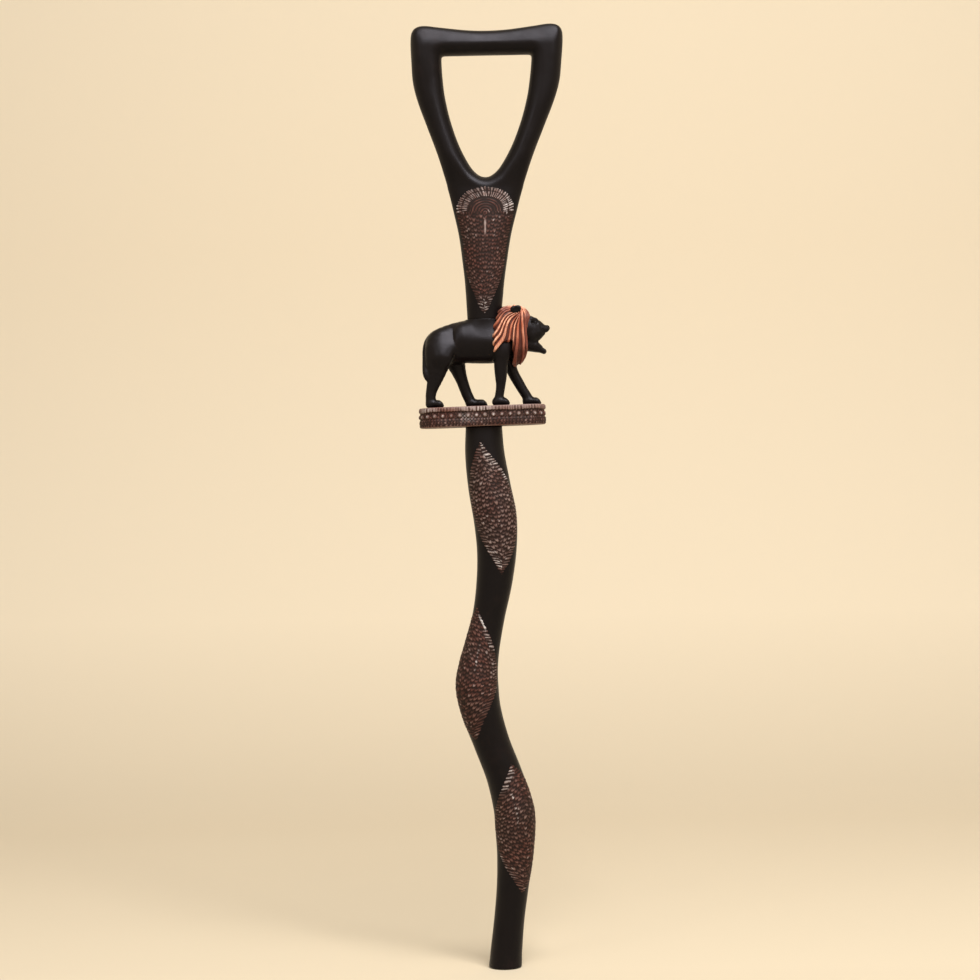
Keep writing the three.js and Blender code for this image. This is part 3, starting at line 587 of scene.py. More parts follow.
# %% Leaf carving
def leaf_carving(low, length, marks):
    """The carving of one leaf, as a function of the place on it."""
    def carve(x, z, edge, side):
        border = smooth_step(6.5 - edge, 0, 1.2)
        inner = scales(edge - 6, z, side, COLUMN, 4.2)
        ridge = border * strokes(edge, z, side, STROKE_PITCH) * 0.8 + (1 - border) * inner
        ridge, top = gouged(x, z, edge, ridge)
        share = (z - low) / length
        # The listed marks are pale rubbed wood with a painted highlight along a few edges; a strength above 1
        # adds an unbroken painted highlight line.
        glint, solid = 0, 0
        for mark_side, near, far, start, end, strength in marks:
            inside = smooth_step(share, start, start + 0.03) * (1 - smooth_step(share, end - 0.03, end))
            place = edge if mark_side else x
            past = smooth_step(place, far - 0.25 * (far - near), far)
            band = smooth_step(place, near - 0.4, near) * (1 - past)
            mark = inside * band * (side == mark_side if mark_side else 1)
            glint = np.maximum(glint, min(strength, 1) * mark)
            solid = np.maximum(solid, max(strength - 1, 0) * mark)
        broken = 0.25 + 0.75 * patches_of(x, z)
        spots = 0.3 * rare_spots(x, z, 0.93) * smooth_step(ridge, 0.4, 0.8)
        glint = glint * broken * smooth_step(ridge, 0.25, 0.6) + spots
        return top, 1 - ridge, np.clip(glint + solid, 0, 1)
    return carve


# %% Leaf pieces
for name, cad_node, middle, length, turn, slant, spread, marks in LEAVES:
    radius = SHAFT_THICKNESS / 2
    columns = int(2 * math.radians(spread) * radius / 0.45)
    low, length = middle * SHAFT_LENGTH - length * LEAF_LENGTH / 2, length * LEAF_LENGTH
    carved_field(name, cad_node, on_shaft, low, low + length,
                 lambda share: math.radians(spread) * np.sin(np.pi * share),
                 lambda share: math.radians(turn) + math.radians(slant) * (share - 0.5), radius,
                 leaf_carving(low, length, marks), 300, columns)

# %% [markdown]
# ## Shields
#
# The neck carries a shield on its front, and another on its back. An arch of radial strokes crowns it,
# below the arch lie nested horseshoe cuts round a short rib, and columns of small scoops run down to the
# point.

# %% Shield outline and skin
SHIELD_LOW, SHIELD_HIGH, SHIELD_SPREAD, SHIELD_RADIUS = 4, 127, 64, 30.0
SHIELD = [(0.0, 0.0), (0.04, 0.2), (0.14, 0.48), (0.32, 0.9), (0.55, 0.95), (0.8, 1.0), (0.9, 0.74),
          (0.97, 0.4), (1.0, 0.0)]
ARCH_FOOT = SHIELD_LOW + 0.8 * (SHIELD_HIGH - SHIELD_LOW)


def on_neck(face):
    """The skin of the neck on its front, face 1, or its back, face -1."""
    def skin(turn, height, outside):
        neck = read_table(NECK, np.clip(np.asarray(height, float) / HANDLE_HEIGHT, 0, NECK_TOP))
        wide = (neck[..., 0] * HANDLE_WIDTH / 2 + outside) * np.sin(turn)
        deep = (neck[..., 1] * HANDLE_DEPTH / 2 + outside) * np.cos(turn) * face
        return np.stack([handle_middle(height) + wide, -deep, height + HANDLE_FOOT + 0 * wide], -1)
    return skin


# %% Shield carving
def shield_carving(x, z, edge, side):
    """In the arch the strokes stand round its middle, so along is an angle; below it they run down the
    neck."""
    up = np.maximum(z - ARCH_FOOT, 0)
    arch = smooth_step(z, ARCH_FOOT - 5, ARCH_FOOT + 1)
    in_arch = SHIELD_RADIUS * (1 - np.hypot(x / SHIELD_RADIUS, up / (SHIELD_HIGH - ARCH_FOOT)))
    depth = np.maximum(np.where(z > ARCH_FOOT, in_arch, edge), 0)
    round_arch = np.arctan2(up * 1.2, x) * 26
    rays = strokes(depth, round_arch, side, 2.6) * (1 - 0.8 * np.exp(-((depth - 5.6) / 0.7) ** 2))
    shoes = (1 - wave(depth / 3.0)) ** 1.4 * (0.55 + 0.45 * fine_noise(x, z, 2))
    inner = smooth_step(depth, 11.5, 12.5)
    crown = rays * (1 - inner) + 0.8 * shoes * inner * smooth_step(depth, 14, 15.5)
    border = smooth_step(7 - depth, 0, 1.2)
    scoops = (1 - border) * 0.86 * scales(depth - 6.5, z, side, COLUMN, 4.1)
    below = border * strokes(depth, z, side, STROKE_PITCH) * 0.6 + scoops
    ridge = crown * arch + below * (1 - arch)
    rib = np.exp(-(x / 1.3) ** 2) * smooth_step(z, ARCH_FOOT - 26, ARCH_FOOT - 18)
    rib = rib * (1 - smooth_step(z, ARCH_FOOT - 12, ARCH_FOOT - 4))
    ridge, top = gouged(x, z, edge, np.maximum(ridge, rib))
    # Pale marks: rubbed wood with a painted highlight, strongest at the point of the shield and on the right
    # shoulder of the arch, lighter along the arch and the rib.
    low_tip = 1 - smooth_step(z, SHIELD_LOW + 9, SHIELD_LOW + 20)
    shoulder = np.exp(-((x - 25) / 6) ** 2 - ((z - ARCH_FOOT - 7) / 9) ** 2)
    band = arch * (1 - inner)
    broken = 0.3 + 0.7 * patches_of(x, z)
    marks = 0.8 * low_tip + 1.1 * shoulder + 0.36 * band + 0.3 * rare_spots(x, z, 0.96)
    glint = smooth_step(ridge, 0.25, 0.6) * np.clip(marks * broken + 0.35 * rib, 0, 1)
    return top, 1 - ridge, glint


# %% Shield pieces
for name, cad_node, face in (("shield_front", "neck_panel_front", 1), ("shield_back", "neck_panel_back", -1)):
    carved_field(name, cad_node, on_neck(face), SHIELD_LOW, SHIELD_HIGH,
                 lambda share: math.radians(SHIELD_SPREAD) * read_table(SHIELD, share)[..., 0],
                 lambda share: 0.0 * share, SHIELD_RADIUS, shield_carving, 290, 150)

# %% [markdown]
# ## Plinth
#
# The lion walks on a bar with half-round ends. A notched band runs round its top edge, a row of domed
# bosses, each in a sunk ring, runs below it, and the rest of the side is cut with small scales. Its side is
# one surface of two parameters: the way round the rim and the height.

# %% Placing what stands on the shaft
FIGURE = np.array([SHAFT[-1][1] * SHAFT_BEND, 0, SHAFT_LENGTH + CLEARANCE])


def in_figure(points):
    """Points of the figure, tilted with the plinth by about one degree and set on the shaft."""
    x, y, z = np.moveaxis(np.asarray(points, float), -1, 0)
    turned = [x * math.cos(TILT) - z * math.sin(TILT), y, x * math.sin(TILT) + z * math.cos(TILT)]
    return np.stack(turned, -1) + FIGURE


# %% Plinth rim
EDGE = 1.6
BOSS_COUNT, BOSS_RADIUS, BOSS_HEIGHT = 36, 2.0, 0.55 * PLINTH_THICKNESS
RIM_RADIUS = PLINTH_WIDTH / 2 - EDGE / 2
HALF_BAR = (PLINTH_LENGTH - PLINTH_WIDTH) / 2
HALF_ROUND = np.pi * RIM_RADIUS + 2 * HALF_BAR
RIM_STEPS = 720
BAND_FROM, BAND_TO, NOTCH_PITCH = 14.3, 15.2, 2.9
PLINTH_PROFILE = [(0.0, 0.9), (0.06, 0.2), (0.34, 0.0), (0.38, 0.5), (0.74, 0.5), (0.78, 0.0), (0.94, 0.1),
                  (1.0, 0.7)]


def on_rim(share, inset):
    """Points of the rim by share of the way round, moved in by inset. Formula: each half is a half circle
    and then a straight side, and the second half is the first turned half round."""
    end = np.where(share % 1 < 0.5, 1, -1)
    run = (share % 0.5) * 2 * HALF_ROUND
    arc = np.pi * RIM_RADIUS
    angle = -np.pi / 2 + np.minimum(run, arc) / RIM_RADIUS
    past = np.maximum(run - arc, 0)
    radius = PLINTH_WIDTH / 2 - inset
    x = PLINTH_OFFSET + end * (HALF_BAR + radius * np.cos(angle) - past)
    return x, end * radius * np.sin(angle)


# %% Plinth carving
def plinth_carving(share, height):
    """How far the side stands out, how deep it is cut and how pale it is, at a share round the rim: rubbed
    crests, and a painted highlight on top of each boss.
    """
    along = share * 2 * HALF_ROUND
    pitch = 2 * HALF_ROUND / BOSS_COUNT
    beside = (along / pitch) % 1 * pitch - pitch / 2
    far = np.hypot(beside, height - BOSS_HEIGHT)
    dome = np.sqrt(np.clip(1 - (far / BOSS_RADIUS) ** 2, 0, 1))
    ring = np.exp(-((far - 2.6) / 0.5) ** 2)
    uneven = fine_noise(along, height, 5)
    band = smooth_step(height + 0.7 * uneven, BAND_FROM, BAND_TO)
    notch = wave(along / NOTCH_PITCH + 0.35 * np.sin(along / 9) + 0.2 * np.sin(along / 3.7)) ** 2
    notch = notch * (0.45 + 0.55 * by_number(np.floor(along / NOTCH_PITCH), 4))
    notch = notch + 0.25 * fine_noise(along, height, 1.4)
    small = scales(height + 0.6 * uneven, along + 0.9 * fine_noise(along, height, 2.6), 0, 2.8, 3.4)
    plain = np.clip(1 - dome * 4, 0, 1)
    ground = 0.36 + 0.75 * plain * smooth_step(far, 2.7, 3.4) * (0.75 - small)
    cut = band * notch * 0.8 + (1 - band) * np.maximum(ground, ring) + 0.1 * fine_noise(along, height, 1.1)
    cut = np.clip(cut, 0, 1)
    out = 1.35 * dome - 0.6 * cut + 0.22 * fine_noise(along, height, 1.9)
    out = out + 0.28 * fine_noise(along, height, 4.7)
    patch = smooth_step(fine_noise(along, height, 6.5), -0.5, 0.6)
    x, y = on_rim(share, 0)
    crossed = np.maximum(wave((along + height) / 3.4), wave((along - height) / 3.4)) ** 8
    crossed = crossed * np.exp(-((x + 15.5) / 8) ** 4 - ((height - 8.5) / 5) ** 4) * (y < 0)
    # The pale marks: a painted highlight on top of each boss, stronger on some than others; pale crossed
    # lines on the front; and paler rubbed crests, most of all in the notched band.
    rub_and_highlight = (0.25 + 0.5 * by_number(np.floor(along / pitch), 7)) * smooth_step(dome, 0.72, 1)
    rub_and_highlight = rub_and_highlight + 0.45 * crossed * (0.6 + 0.6 * fine_noise(along, height, 1.7))
    rub_and_highlight = rub_and_highlight + smooth_step(0.5 - cut, 0, 0.4) * (0.1 + 0.4 * band) * patch
    return out, cut, np.clip(rub_and_highlight, 0, 1)


# %% Plinth piece
around = np.linspace(0, 1, RIM_STEPS, endpoint=False)
side_heights = np.concatenate([[0.0], np.linspace(0.25, PLINTH_THICKNESS - 0.25, 48), [PLINTH_THICKNESS]])
u, v = np.meshgrid(around, side_heights)
profile = read_table(PLINTH_PROFILE, side_heights / PLINTH_THICKNESS) * EDGE
out, cut, rub_and_highlight = plinth_carving(u, v)
fade = smooth_step(v, 0.2, 1.2) * smooth_step(PLINTH_THICKNESS - v, 0.1, 1.0)
x, y = on_rim(u, profile - out * fade)
side = np.stack([x, y, v], -1)
insets = np.array([2.2, 4.5, 8, 13, 19])[:, None]
flat = np.zeros((len(insets), RIM_STEPS))
x, y = on_rim(around[None, :], insets)
tool_marks = 0.1 * fine_noise(np.arange(RIM_STEPS) * 0.4, insets, 2)
underside = np.stack([x, y, flat], -1)[::-1]
top = np.stack([x, y, flat + PLINTH_THICKNESS + tool_marks], -1)
rings = np.concatenate([underside, side, top])
values = {"cut": np.concatenate([flat + 0.4, cut * fade, flat + 0.35]),
          "glint": np.concatenate([flat, rub_and_highlight * fade, flat])}
points = rings.reshape(-1, 3)
faces = outward(points, skin_faces(len(rings), RIM_STEPS))
make_piece("plinth_carved", in_figure(points), faces, "carved_wood", ["plinth"], values)

# %% [markdown]
# ## Lion
#
# The lion is built up as a modeller would in clay: a barrel for the trunk, sausages for the legs, a skull,
# a jaw, and small pads for the toes, brows and lips. Each row of a limb is x along the walk, y across, z
# above the plinth, the radius in the plane of the walk and the radius across. Near is -y. The rows follow
# the outline in the picture.

# %% Trunk, legs and tail
TRUNK = [(-41.5, 0, 60.4, 13.2, 11), (-38, 0, 60.8, 15.8, 13.5), (-30, 0, 61, 18.7, 15.5),
         (-18, 0, 62.6, 20.2, 16.4), (-4, 0, 63.2, 21.6, 17), (10, 0, 63.2, 22, 17), (20, 0, 64, 21, 16.5),
         (26, 0, 66, 17, 14)]
LEGS = {
    "hind_near": [(-37, -6, 61.5, 14, 8), (-40, -8.5, 56, 13.6, 8.5), (-41, -9.8, 50, 13, 8),
                  (-42.5, -10.6, 41, 11.3, 7.2), (-44.3, -10.9, 32, 8.8, 6.2), (-46.2, -11, 25, 7, 5.3),
                  (-48.9, -11, 17, 5.4, 4.6), (-50.2, -11, 10, 4.9, 4.5), (-50, -11, 4.4, 4.8, 4.8)],
    "hind_far": [(-32, 6, 62, 12, 8), (-29.5, 8.5, 56, 12, 8.5), (-27, 9.8, 50, 11.5, 8),
                 (-24.2, 10.6, 41, 8.6, 7.2), (-21.5, 10.9, 32, 6.6, 6.2), (-18.9, 11, 24, 5.6, 5.2),
                 (-15.8, 11, 14, 5.3, 4.6), (-13, 11, 7.5, 5.2, 4.6), (-11.6, 11, 4.8, 4.8, 4.8)],
    "fore_near": [(22, -8, 66, 11, 7), (21.5, -9.6, 57, 10, 7.4), (20.3, -10.4, 49, 8.4, 7),
                  (18.8, -10.6, 40, 6.8, 6.2), (18.4, -10.5, 29, 5.9, 5.4), (17.8, -10.3, 18.5, 4.5, 4.6),
                  (16.2, -10.3, 9.5, 4.3, 4.5), (15.6, -10.3, 4.8, 4.8, 4.8)],
    "fore_far": [(22, 8, 66, 11, 7.5), (23.5, 10, 56, 9.5, 8), (25.5, 10.8, 48, 7.8, 7.2),
                 (27.8, 10.8, 40, 6, 6), (30.7, 10.5, 31, 5.3, 5.2), (35.4, 10.3, 22, 5.1, 4.7),
                 (39.1, 10.3, 15, 4.8, 4.5), (43, 10.3, 8.5, 4.8, 4.5), (44.6, 10.3, 4.8, 4.8, 4.8)],
}
PAWS = {"hind_near": (-55.2, -37.4, -11), "hind_far": (-16.8, 4.6, 11), "fore_near": (8.6, 26.3, -10.3),
        "fore_far": (38.4, 57, 10.3)}
TAIL = [(-47, 0, 70, 2.6, 2.6), (-52, -1, 64, 2.6, 2.4), (-54.2, -3.4, 56, 2.4, 2.3),
        (-54.4, -7, 46, 2.5, 2.3), (-54, -10, 38.5, 3.2, 2.6), (-53.2, -12, 33, 3.8, 3),
        (-52.4, -13, 28.5, 2.9, 2.4), (-51.6, -13.4, 25.5, 1.3, 1.3)]
MUSCLES = [[(-33, -9.8, 67, 5.4, 4), (-34, -12.9, 58, 8.4, 4.8), (-36.5, -15.4, 48, 8.5, 4.8)],
           [(-30, 12.5, 58, 8.5, 4.2), (-27, 13.5, 50, 8, 4)],
           [(21, -12, 60, 6.5, 3.6), (20.5, -13, 52, 6, 3.4)],
           [(22, 12.2, 62, 7, 3.8), (24, 13.2, 53, 6, 3.4)]]

# The flats that the rasp leaves on the haunch and on the back, the same on both sides. Each row is the
# flat's direction in x, y and z, how far out it lies, its rear and front ends in x and its upper edge.
FLATS = [(0.12, 0.89, 0.44, 38.0, -90, -26, 75),
         (0.1, 0.88, 0.46, 46.0, -30, 26, 95)]

# %% Head
HEAD = [(30, 0, 73, 15, 13), (38, 0, 73, 15.5, 13), (44, 0, 72, 15, 12), (49, 0, 70.6, 13.6, 10.6),
        (53, 0, 71.4, 10.6, 8.6), (57, 0, 73.1, 6.4, 7.4), (61, 0, 73, 4.1, 6.2), (64.4, 0, 72.8, 2.9, 4.8)]
JAW = [(40, 0, 60, 8, 10), (46, 0, 58.5, 7, 9), (51, 0, 57, 6.4, 8), (54.6, 0, 55, 5, 6.8),
       (58, 0, 52.6, 3.2, 5.6), (61, 0, 50.9, 2.7, 4.8)]
MOUTH = [(50.5, 0, 62, 2.2, 3.2), (56, 0, 62, 3.8, 4.4), (63, 0, 61.5, 5.5, 5)]
NOSE = [(65.2, -1.5, 73.7, 2.4, 2.2), (65.2, 1.5, 73.7, 2.4, 2.2)]
# What comes in pairs, in the order it is worked: rows on the near side, how softly they join, and whether
# they are cut away.
FACE = {
    "brow": ([(49.5, -6.6, 82.2, 2.3, 2.2), (54.2, -5, 81.4, 2, 1.7)], 1.5, False),
    "cheek": ([(50, -7.4, 66, 4.6, 3.2), (56, -5.4, 68.4, 2.6, 2.2)], 3, False),
    "lip": ([(58, -4.6, 70.2, 2.2, 2), (64.2, -3, 71.4, 2, 2.1)], 1.2, False),
    "socket": ([(51.6, -8.4, 78.6, 1.9, 1.5), (54.6, -7.6, 78.2, 1.6, 1.4)], 0.8, True),
    "eye": ([(52.6, -6.2, 78.5, 1.8, 1.5), (53.6, -6.1, 78.4, 1.8, 1.5)], 0.3, False),
    "nostril": ([(67.6, -1.7, 74, 0.8, 0.9), (66.6, -2.9, 73.6, 0.7, 0.9)], 0.4, True),
    "ear": ([(35, -12, 88, 3.6, 3.4), (35, -17, 90.8, 3.8, 3)], 1, False),
    "ear_tip": ([(32.8, -18.6, 91.4, 3.2, 2.3), (37.2, -18.6, 92, 3.2, 2.3)], 0.8, False),
    "ear_hollow": ([(35.2, -21.4, 90.8, 2.6, 1.7), (36.4, -21.4, 91.2, 1.9, 1.7)], 1.4, True),
}


def both(rows):
    """Rows on the near side and the same rows on the far side."""
    rows = np.array(rows, float)
    return [rows, rows * [1, -1, 1, 1, 1]]


# %% Lion body
lion = Block((-62, -23, -1), (72, 23, 101), 0.72)
add_limb(lion, TRUNK, 3, 14)
for rows in LEGS.values():
    add_limb(lion, rows, 3.5, 14)
for rows in MUSCLES:
    add_limb(lion, rows, 6)
where, x, y, z = lion.part((-62, -23, 40), (30, 23, 100))
for along, across, up, out, rear, front, top in FLATS:
    flat = along * x + across * np.abs(y) + up * z - out
    ends = np.maximum(0.45 * np.maximum(x - front, rear - x), 0.35 * (z - top))
    lion.field[where] = soft_cut(lion.field[where], np.maximum(-flat, ends), 3.5)
print("block", lion.field.shape)

# %% Paws
for heel, toes, y in PAWS.values():
    add_limb(lion, [(heel + 4.6, y, 3.2, 4.4, 5), (toes - 5.5, y, 3.6, 3.6, 5.6)], 2)
    for offset, back in ((-4.4, 0.8), (-1.5, 0), (1.5, 0), (4.4, 0.8)):
        toe = [(toes - 8, y + offset * 0.8, 3.4, 2.6, 1.9), (toes - 3.4 - back, y + offset, 2.8, 2.7, 1.9),
               (toes - 2 - back, y + offset, 1.6, 1.9, 1.5)]
        add_limb(lion, toe, 0.8)
print(len(PAWS), "paws")

# %% Tail and head
add_limb(lion, TAIL, 1.2, 14)
add_limb(lion, HEAD, 4, 14)
add_limb(lion, JAW, 2, 10)
add_limb(lion, MOUTH, 1, 8, cut=True)
add_limb(lion, NOSE, 1)
for near_rows, reach, cut in FACE.values():
    for rows in both(near_rows):
        add_limb(lion, rows, reach, cut=cut)
print(len(FACE), "pairs on the head")

# %% Seat of the handle, and the lion's skin
FOOT_X = (-HANDLE_LEAN - FIGURE[0] + (PLINTH_THICKNESS + SEAT) * math.sin(TILT)) / math.cos(TILT)
FOOT_WIDE, FOOT_DEEP = NECK[0][1] * HANDLE_WIDTH / 2, NECK[0][2] * HANDLE_DEPTH / 2
add_limb(lion, [(FOOT_X, 0, 72, FOOT_WIDE, FOOT_DEEP), (FOOT_X, 0, 90, FOOT_WIDE, FOOT_DEEP)], 4)
where, x, y, z = lion.part((-30, -23, 80), (22, 23, 101))
lion.field[where] = np.maximum(lion.field[where], z - SEAT + x * math.sin(TILT))
lion.field = np.maximum(lion.field, -lion.axes[2][None, None, :])
points, quads = field_skin(lion)
points = relax(points, quads, 2)
soles = np.array([0, 0, PLINTH_THICKNESS + CLEARANCE])
make_piece("lion_figure", in_figure(points + soles), quads.tolist(), "black_wood", ["lion"])

# %% [markdown]
# ## Mane
#
# The mane is cut from the same wood and painted. It stands a few millimetres proud of the shoulders, ends
# in pointed locks, and its strands fan out from above the ear: slanting back over the shoulder, upright at
# the front. The outline gives the body of the mane, and each strand is then pressed in along the skin's own
# direction.

# %% Mane tables
MANE = [(18.1, 94.6), (14, 83.2), (10.8, 72.7), (10.4, 62), (11.6, 50.4), (17, 53.4), (23, 57.6),
        (28, 59.2), (30, 57.6), (29.2, 48.8), (28.8, 42), (32, 36.8), (36.9, 37.8), (42.4, 44.2),
        (45.4, 52.5), (45.8, 64), (46.8, 74.6), (49.0, 85.6), (44.3, 93.6), (35, 97.1), (24.5, 97.3)]
MANE_DEPTH = [(34, 6), (40, 9.5), (46, 15), (52, 19.4), (57, 20.8), (62, 21.6), (70, 21.8), (80, 21.2),
              (88, 19.2), (94, 15), (98, 11)]
MANE_ROUND = [(34, 5), (44, 3.2), (52, 1.6), (62, 2.8), (74, 5.5), (86, 8), (98, 8.5)]
FAN = (40.5, 90)
RAY_DEGREES, HANG_WIDTH, STRAND_DEPTH = 14, 4.4, 1.6


# %% Strands of the mane
def skin_directions(points, quads):
    """Unit direction out of the skin at each point: the sum of the directions of the faces round it."""
    a, b, c, d = (points[quads[:, k]] for k in range(4))
    face = np.cross(c - a, d - b)
    total = np.stack([np.bincount(quads.ravel(), np.repeat(face[:, k], 4), len(points)) for k in range(3)], 1)
    return total / np.maximum(np.linalg.norm(total, axis=1, keepdims=True), 1e-12)


def strands(points, out):
    """How deep the cuts between strands are, 0 on a strand's crest, and how bright each strand is painted.
    Formula: strands leave the ear as rays, and counting more of them further out bends each one down as it
    falls. Before the ear they hang upright, and the count goes on round the edge to the face side."""
    x, y, z = points.T
    sway = 0.5 * np.sin(z / 6.5 + np.sign(y)) + 0.3 * np.sin(x / 3.3 + z / 9)
    far = np.hypot(x - FAN[0], z - FAN[1])
    ray = np.degrees(np.arctan2(FAN[0] - x, FAN[1] - z)) / RAY_DEGREES
    ray = ray * (1 + 0.6 * smooth_step(far, 8, 34)) + 0.16 * sway
    inward = read_table(MANE_DEPTH, z)[:, 0] - np.abs(y)
    round_edge = np.maximum(inward - 2, 0) * smooth_step(out[:, 0], -0.2, 0.2)
    hang = (FAN[0] - x - round_edge + 0.5 * sway) / HANG_WIDTH
    behind = smooth_step(FAN[0] - x, -1, 4)
    turn = ray * behind + hang * (1 - behind) + 0.5
    turn = turn + 0.14 * np.sin(2.1 * turn + 1)
    strand = np.floor(turn)
    width = 0.3 + 0.25 * by_number(strand, 2)
    gap = smooth_step(np.abs(np.cos(np.pi * turn)), width, 0.93)
    hair = np.abs(np.sin(np.pi * (turn * 2.6 + 0.25 * sway)))
    fine = 0.22 * (1 - hair ** 0.7) * (1 - gap) * smooth_step(far, 12, 22)
    bright = 1.25 * by_number(strand, 5) - 0.1 + 0.3 * fine_noise(x, z, 3.4)
    bright = np.maximum(bright, 0.85 * smooth_step(x, 41, 43) * smooth_step(z, 44, 66))
    return np.clip(gap + fine, 0, 1), np.clip(bright, 0, 1)


# %% Mane piece
mane = Block((8, -24, 33), (53, 24, 101), 0.45)
ax, ay, az = mane.axes
inner = outline_depth(ax[:, None], az[None, :], along_rows(MANE + MANE[:1], 120)[:-1])
half, rounding = read_table(MANE_DEPTH, az)[:, 0], read_table(MANE_ROUND, az)[:, 0]
flat = np.maximum(1 - inner / rounding, 0)
mane.field = (np.sqrt(flat[:, None, :] ** 2 + (ay[None, :, None] / half) ** 2) - 1) * rounding
foot_hole = [(FOOT_X, 0, level, FOOT_WIDE + 0.4, FOOT_DEEP + 0.4) for level in (70, 110)]
add_limb(mane, foot_hole, 0.5, cut=True)
points, quads = field_skin(mane)
points = relax(points, quads, 2)
out = skin_directions(points, quads)
cut, bright = strands(points, out)
points = points - out * (STRAND_DEPTH * cut[:, None])
# Low darkens the paint: lower down at the front and at the top rear by the neck, and it is painted shade on
# the side that faces the head.
low = smooth_step(74 - points[:, 2], 0, 26) * smooth_step(points[:, 0], 24, 33)
low = np.maximum(low, 0.9 * smooth_step(points[:, 2], 80, 90) * smooth_step(33 - points[:, 0], 0, 8))
low = np.maximum(low, smooth_step(out[:, 0], 0.45, 0.8))
make_piece("mane_locks", in_figure(points + soles), quads.tolist(), "mane_paint", ["mane"],
           {"cut": cut, "bright": bright, "low": low})

# %% [markdown]
# ## Finishes
#
# Three effects are shared, so each is a group of nodes built once: the grain of the wood, the uneven handling
# wear of a waxed surface, and a colour that goes from the bottom of a cut to the rubbed crest beside it.
# The depth of the cuts comes with each mesh as a value per point, so colour and carving agree.

# %% Node tools
def feed(tree, socket, value):
    """Gives a socket its value: another node's output is linked, and a number or a colour is set."""
    if isinstance(value, bpy.types.NodeSocket):
        tree.links.new(value, socket)
    else:
        socket.default_value = (*value, 1) if isinstance(value, tuple) and len(value) == 3 else value


def node(tree, kind, inputs=None, **properties):
    """A node with its properties and, by name or number, its input values."""
    made = tree.nodes.new(kind)
    for key, value in properties.items():
        setattr(made, key, value)
    for key, value in (inputs or {}).items():
        feed(tree, made.inputs[key], value)
    return made


def new_group(name, inputs, outputs):
    """An empty node group with named float or colour inputs and outputs, and its two end nodes."""
    tree = bpy.data.node_groups.new(name, "ShaderNodeTree")
    kinds = {"float": "NodeSocketFloat", "colour": "NodeSocketColor"}
    for key, kind in inputs:
        tree.interface.new_socket(name=key, in_out="INPUT", socket_type=kinds[kind])
    for key, kind in outputs:
        tree.interface.new_socket(name=key, in_out="OUTPUT", socket_type=kinds[kind])
    print("node group", name)
    return tree, tree.nodes.new("NodeGroupInput"), tree.nodes.new("NodeGroupOutput")


def ramp(tree, value, stops):
    """A colour ramp from stops of place and grey or colour."""
    made = tree.nodes.new("ShaderNodeValToRGB")
    elements = made.color_ramp.elements
    while len(elements) < len(stops):
        elements.new(0.5)
    for element, (place, shade) in zip(elements, stops):
        element.position = place
        element.color = (*([shade] * 3 if isinstance(shade, (int, float)) else shade), 1)
    feed(tree, made.inputs[0], value)
    return made.outputs[0]


def mix_colour(tree, share, first, second, blend="MIX"):
    """A share of the second colour over the first."""
    made = node(tree, "ShaderNodeMix", data_type="RGBA", blend_type=blend)
    for number, value in ((0, share), (6, first), (7, second)):
        feed(tree, made.inputs[number], value)
    return made.outputs[2]


def arithmetic(tree, operation, first, second):
    """One sum on two values."""
    return node(tree, "ShaderNodeMath", {0: first, 1: second}, operation=operation).outputs[0]


def noise(tree, where, scale, detail, roughness, distortion=0.0):
    """A cloudy noise between 0 and 1 at a place."""
    values = {"Vector": where, "Scale": scale, "Detail": detail, "Roughness": roughness,
              "Distortion": distortion}
    return node(tree, "ShaderNodeTexNoise", values).outputs["Fac"]


# %% Grain
grain_group, ends_in, ends_out = new_group("wood_grain", [("Scale", "float"), ("Stretch", "float")],
                                           [("Fibre", "float"), ("Cloud", "float")])
where = node(grain_group, "ShaderNodeTexCoord").outputs["Object"]
apart = node(grain_group, "ShaderNodeSeparateXYZ", {0: where})
along = arithmetic(grain_group, "MULTIPLY", apart.outputs[2], ends_in.outputs["Stretch"])
drawn = node(grain_group, "ShaderNodeCombineXYZ", {0: apart.outputs[0], 1: apart.outputs[1], 2: along})
fibre = noise(grain_group, drawn.outputs[0], ends_in.outputs["Scale"], 6.0, 0.62, 0.35)
feed(grain_group, ends_out.inputs["Fibre"], fibre)
feed(grain_group, ends_out.inputs["Cloud"], noise(grain_group, where, 38.0, 4.0, 0.55))

# %% Handling wear
wear_group, ends_in, ends_out = new_group("handling_wear", [("Amount", "float")],
                                          [("Worn", "float"), ("Scratch", "float")])
where = node(wear_group, "ShaderNodeTexCoord").outputs["Object"]
patches = noise(wear_group, where, 17.0, 7.0, 0.7)
nicks = node(wear_group, "ShaderNodeTexVoronoi", {"Vector": where, "Scale": 95.0}, feature="DISTANCE_TO_EDGE")
worn = ramp(wear_group, patches, [(0.55, 0.0), (0.75, 1.0)])
fine = ramp(wear_group, nicks.outputs["Distance"], [(0.0, 1.0), (0.035, 0.0)])
worn_share = arithmetic(wear_group, "MULTIPLY", worn, ends_in.outputs["Amount"])
feed(wear_group, ends_out.inputs["Worn"], worn_share)
feed(wear_group, ends_out.inputs["Scratch"], arithmetic(wear_group, "MULTIPLY", fine, worn))

# %% Colour from the depth of a cut
cut_group, ends_in, ends_out = new_group("cut_shade", [("Cut", "float"), ("Recess", "colour"),
                                                       ("Middle", "colour"), ("Crest", "colour")],
                                         [("Colour", "colour")])
low_share = ramp(cut_group, ends_in.outputs["Cut"], [(0.4, 0.0), (0.9, 1.0)])
top_share = ramp(cut_group, ends_in.outputs["Cut"], [(0.05, 1.0), (0.5, 0.0)])
shade = mix_colour(cut_group, low_share, ends_in.outputs["Middle"], ends_in.outputs["Recess"])
shade = mix_colour(cut_group, top_share, shade, ends_in.outputs["Crest"])
feed(cut_group, ends_out.inputs["Colour"], shade)


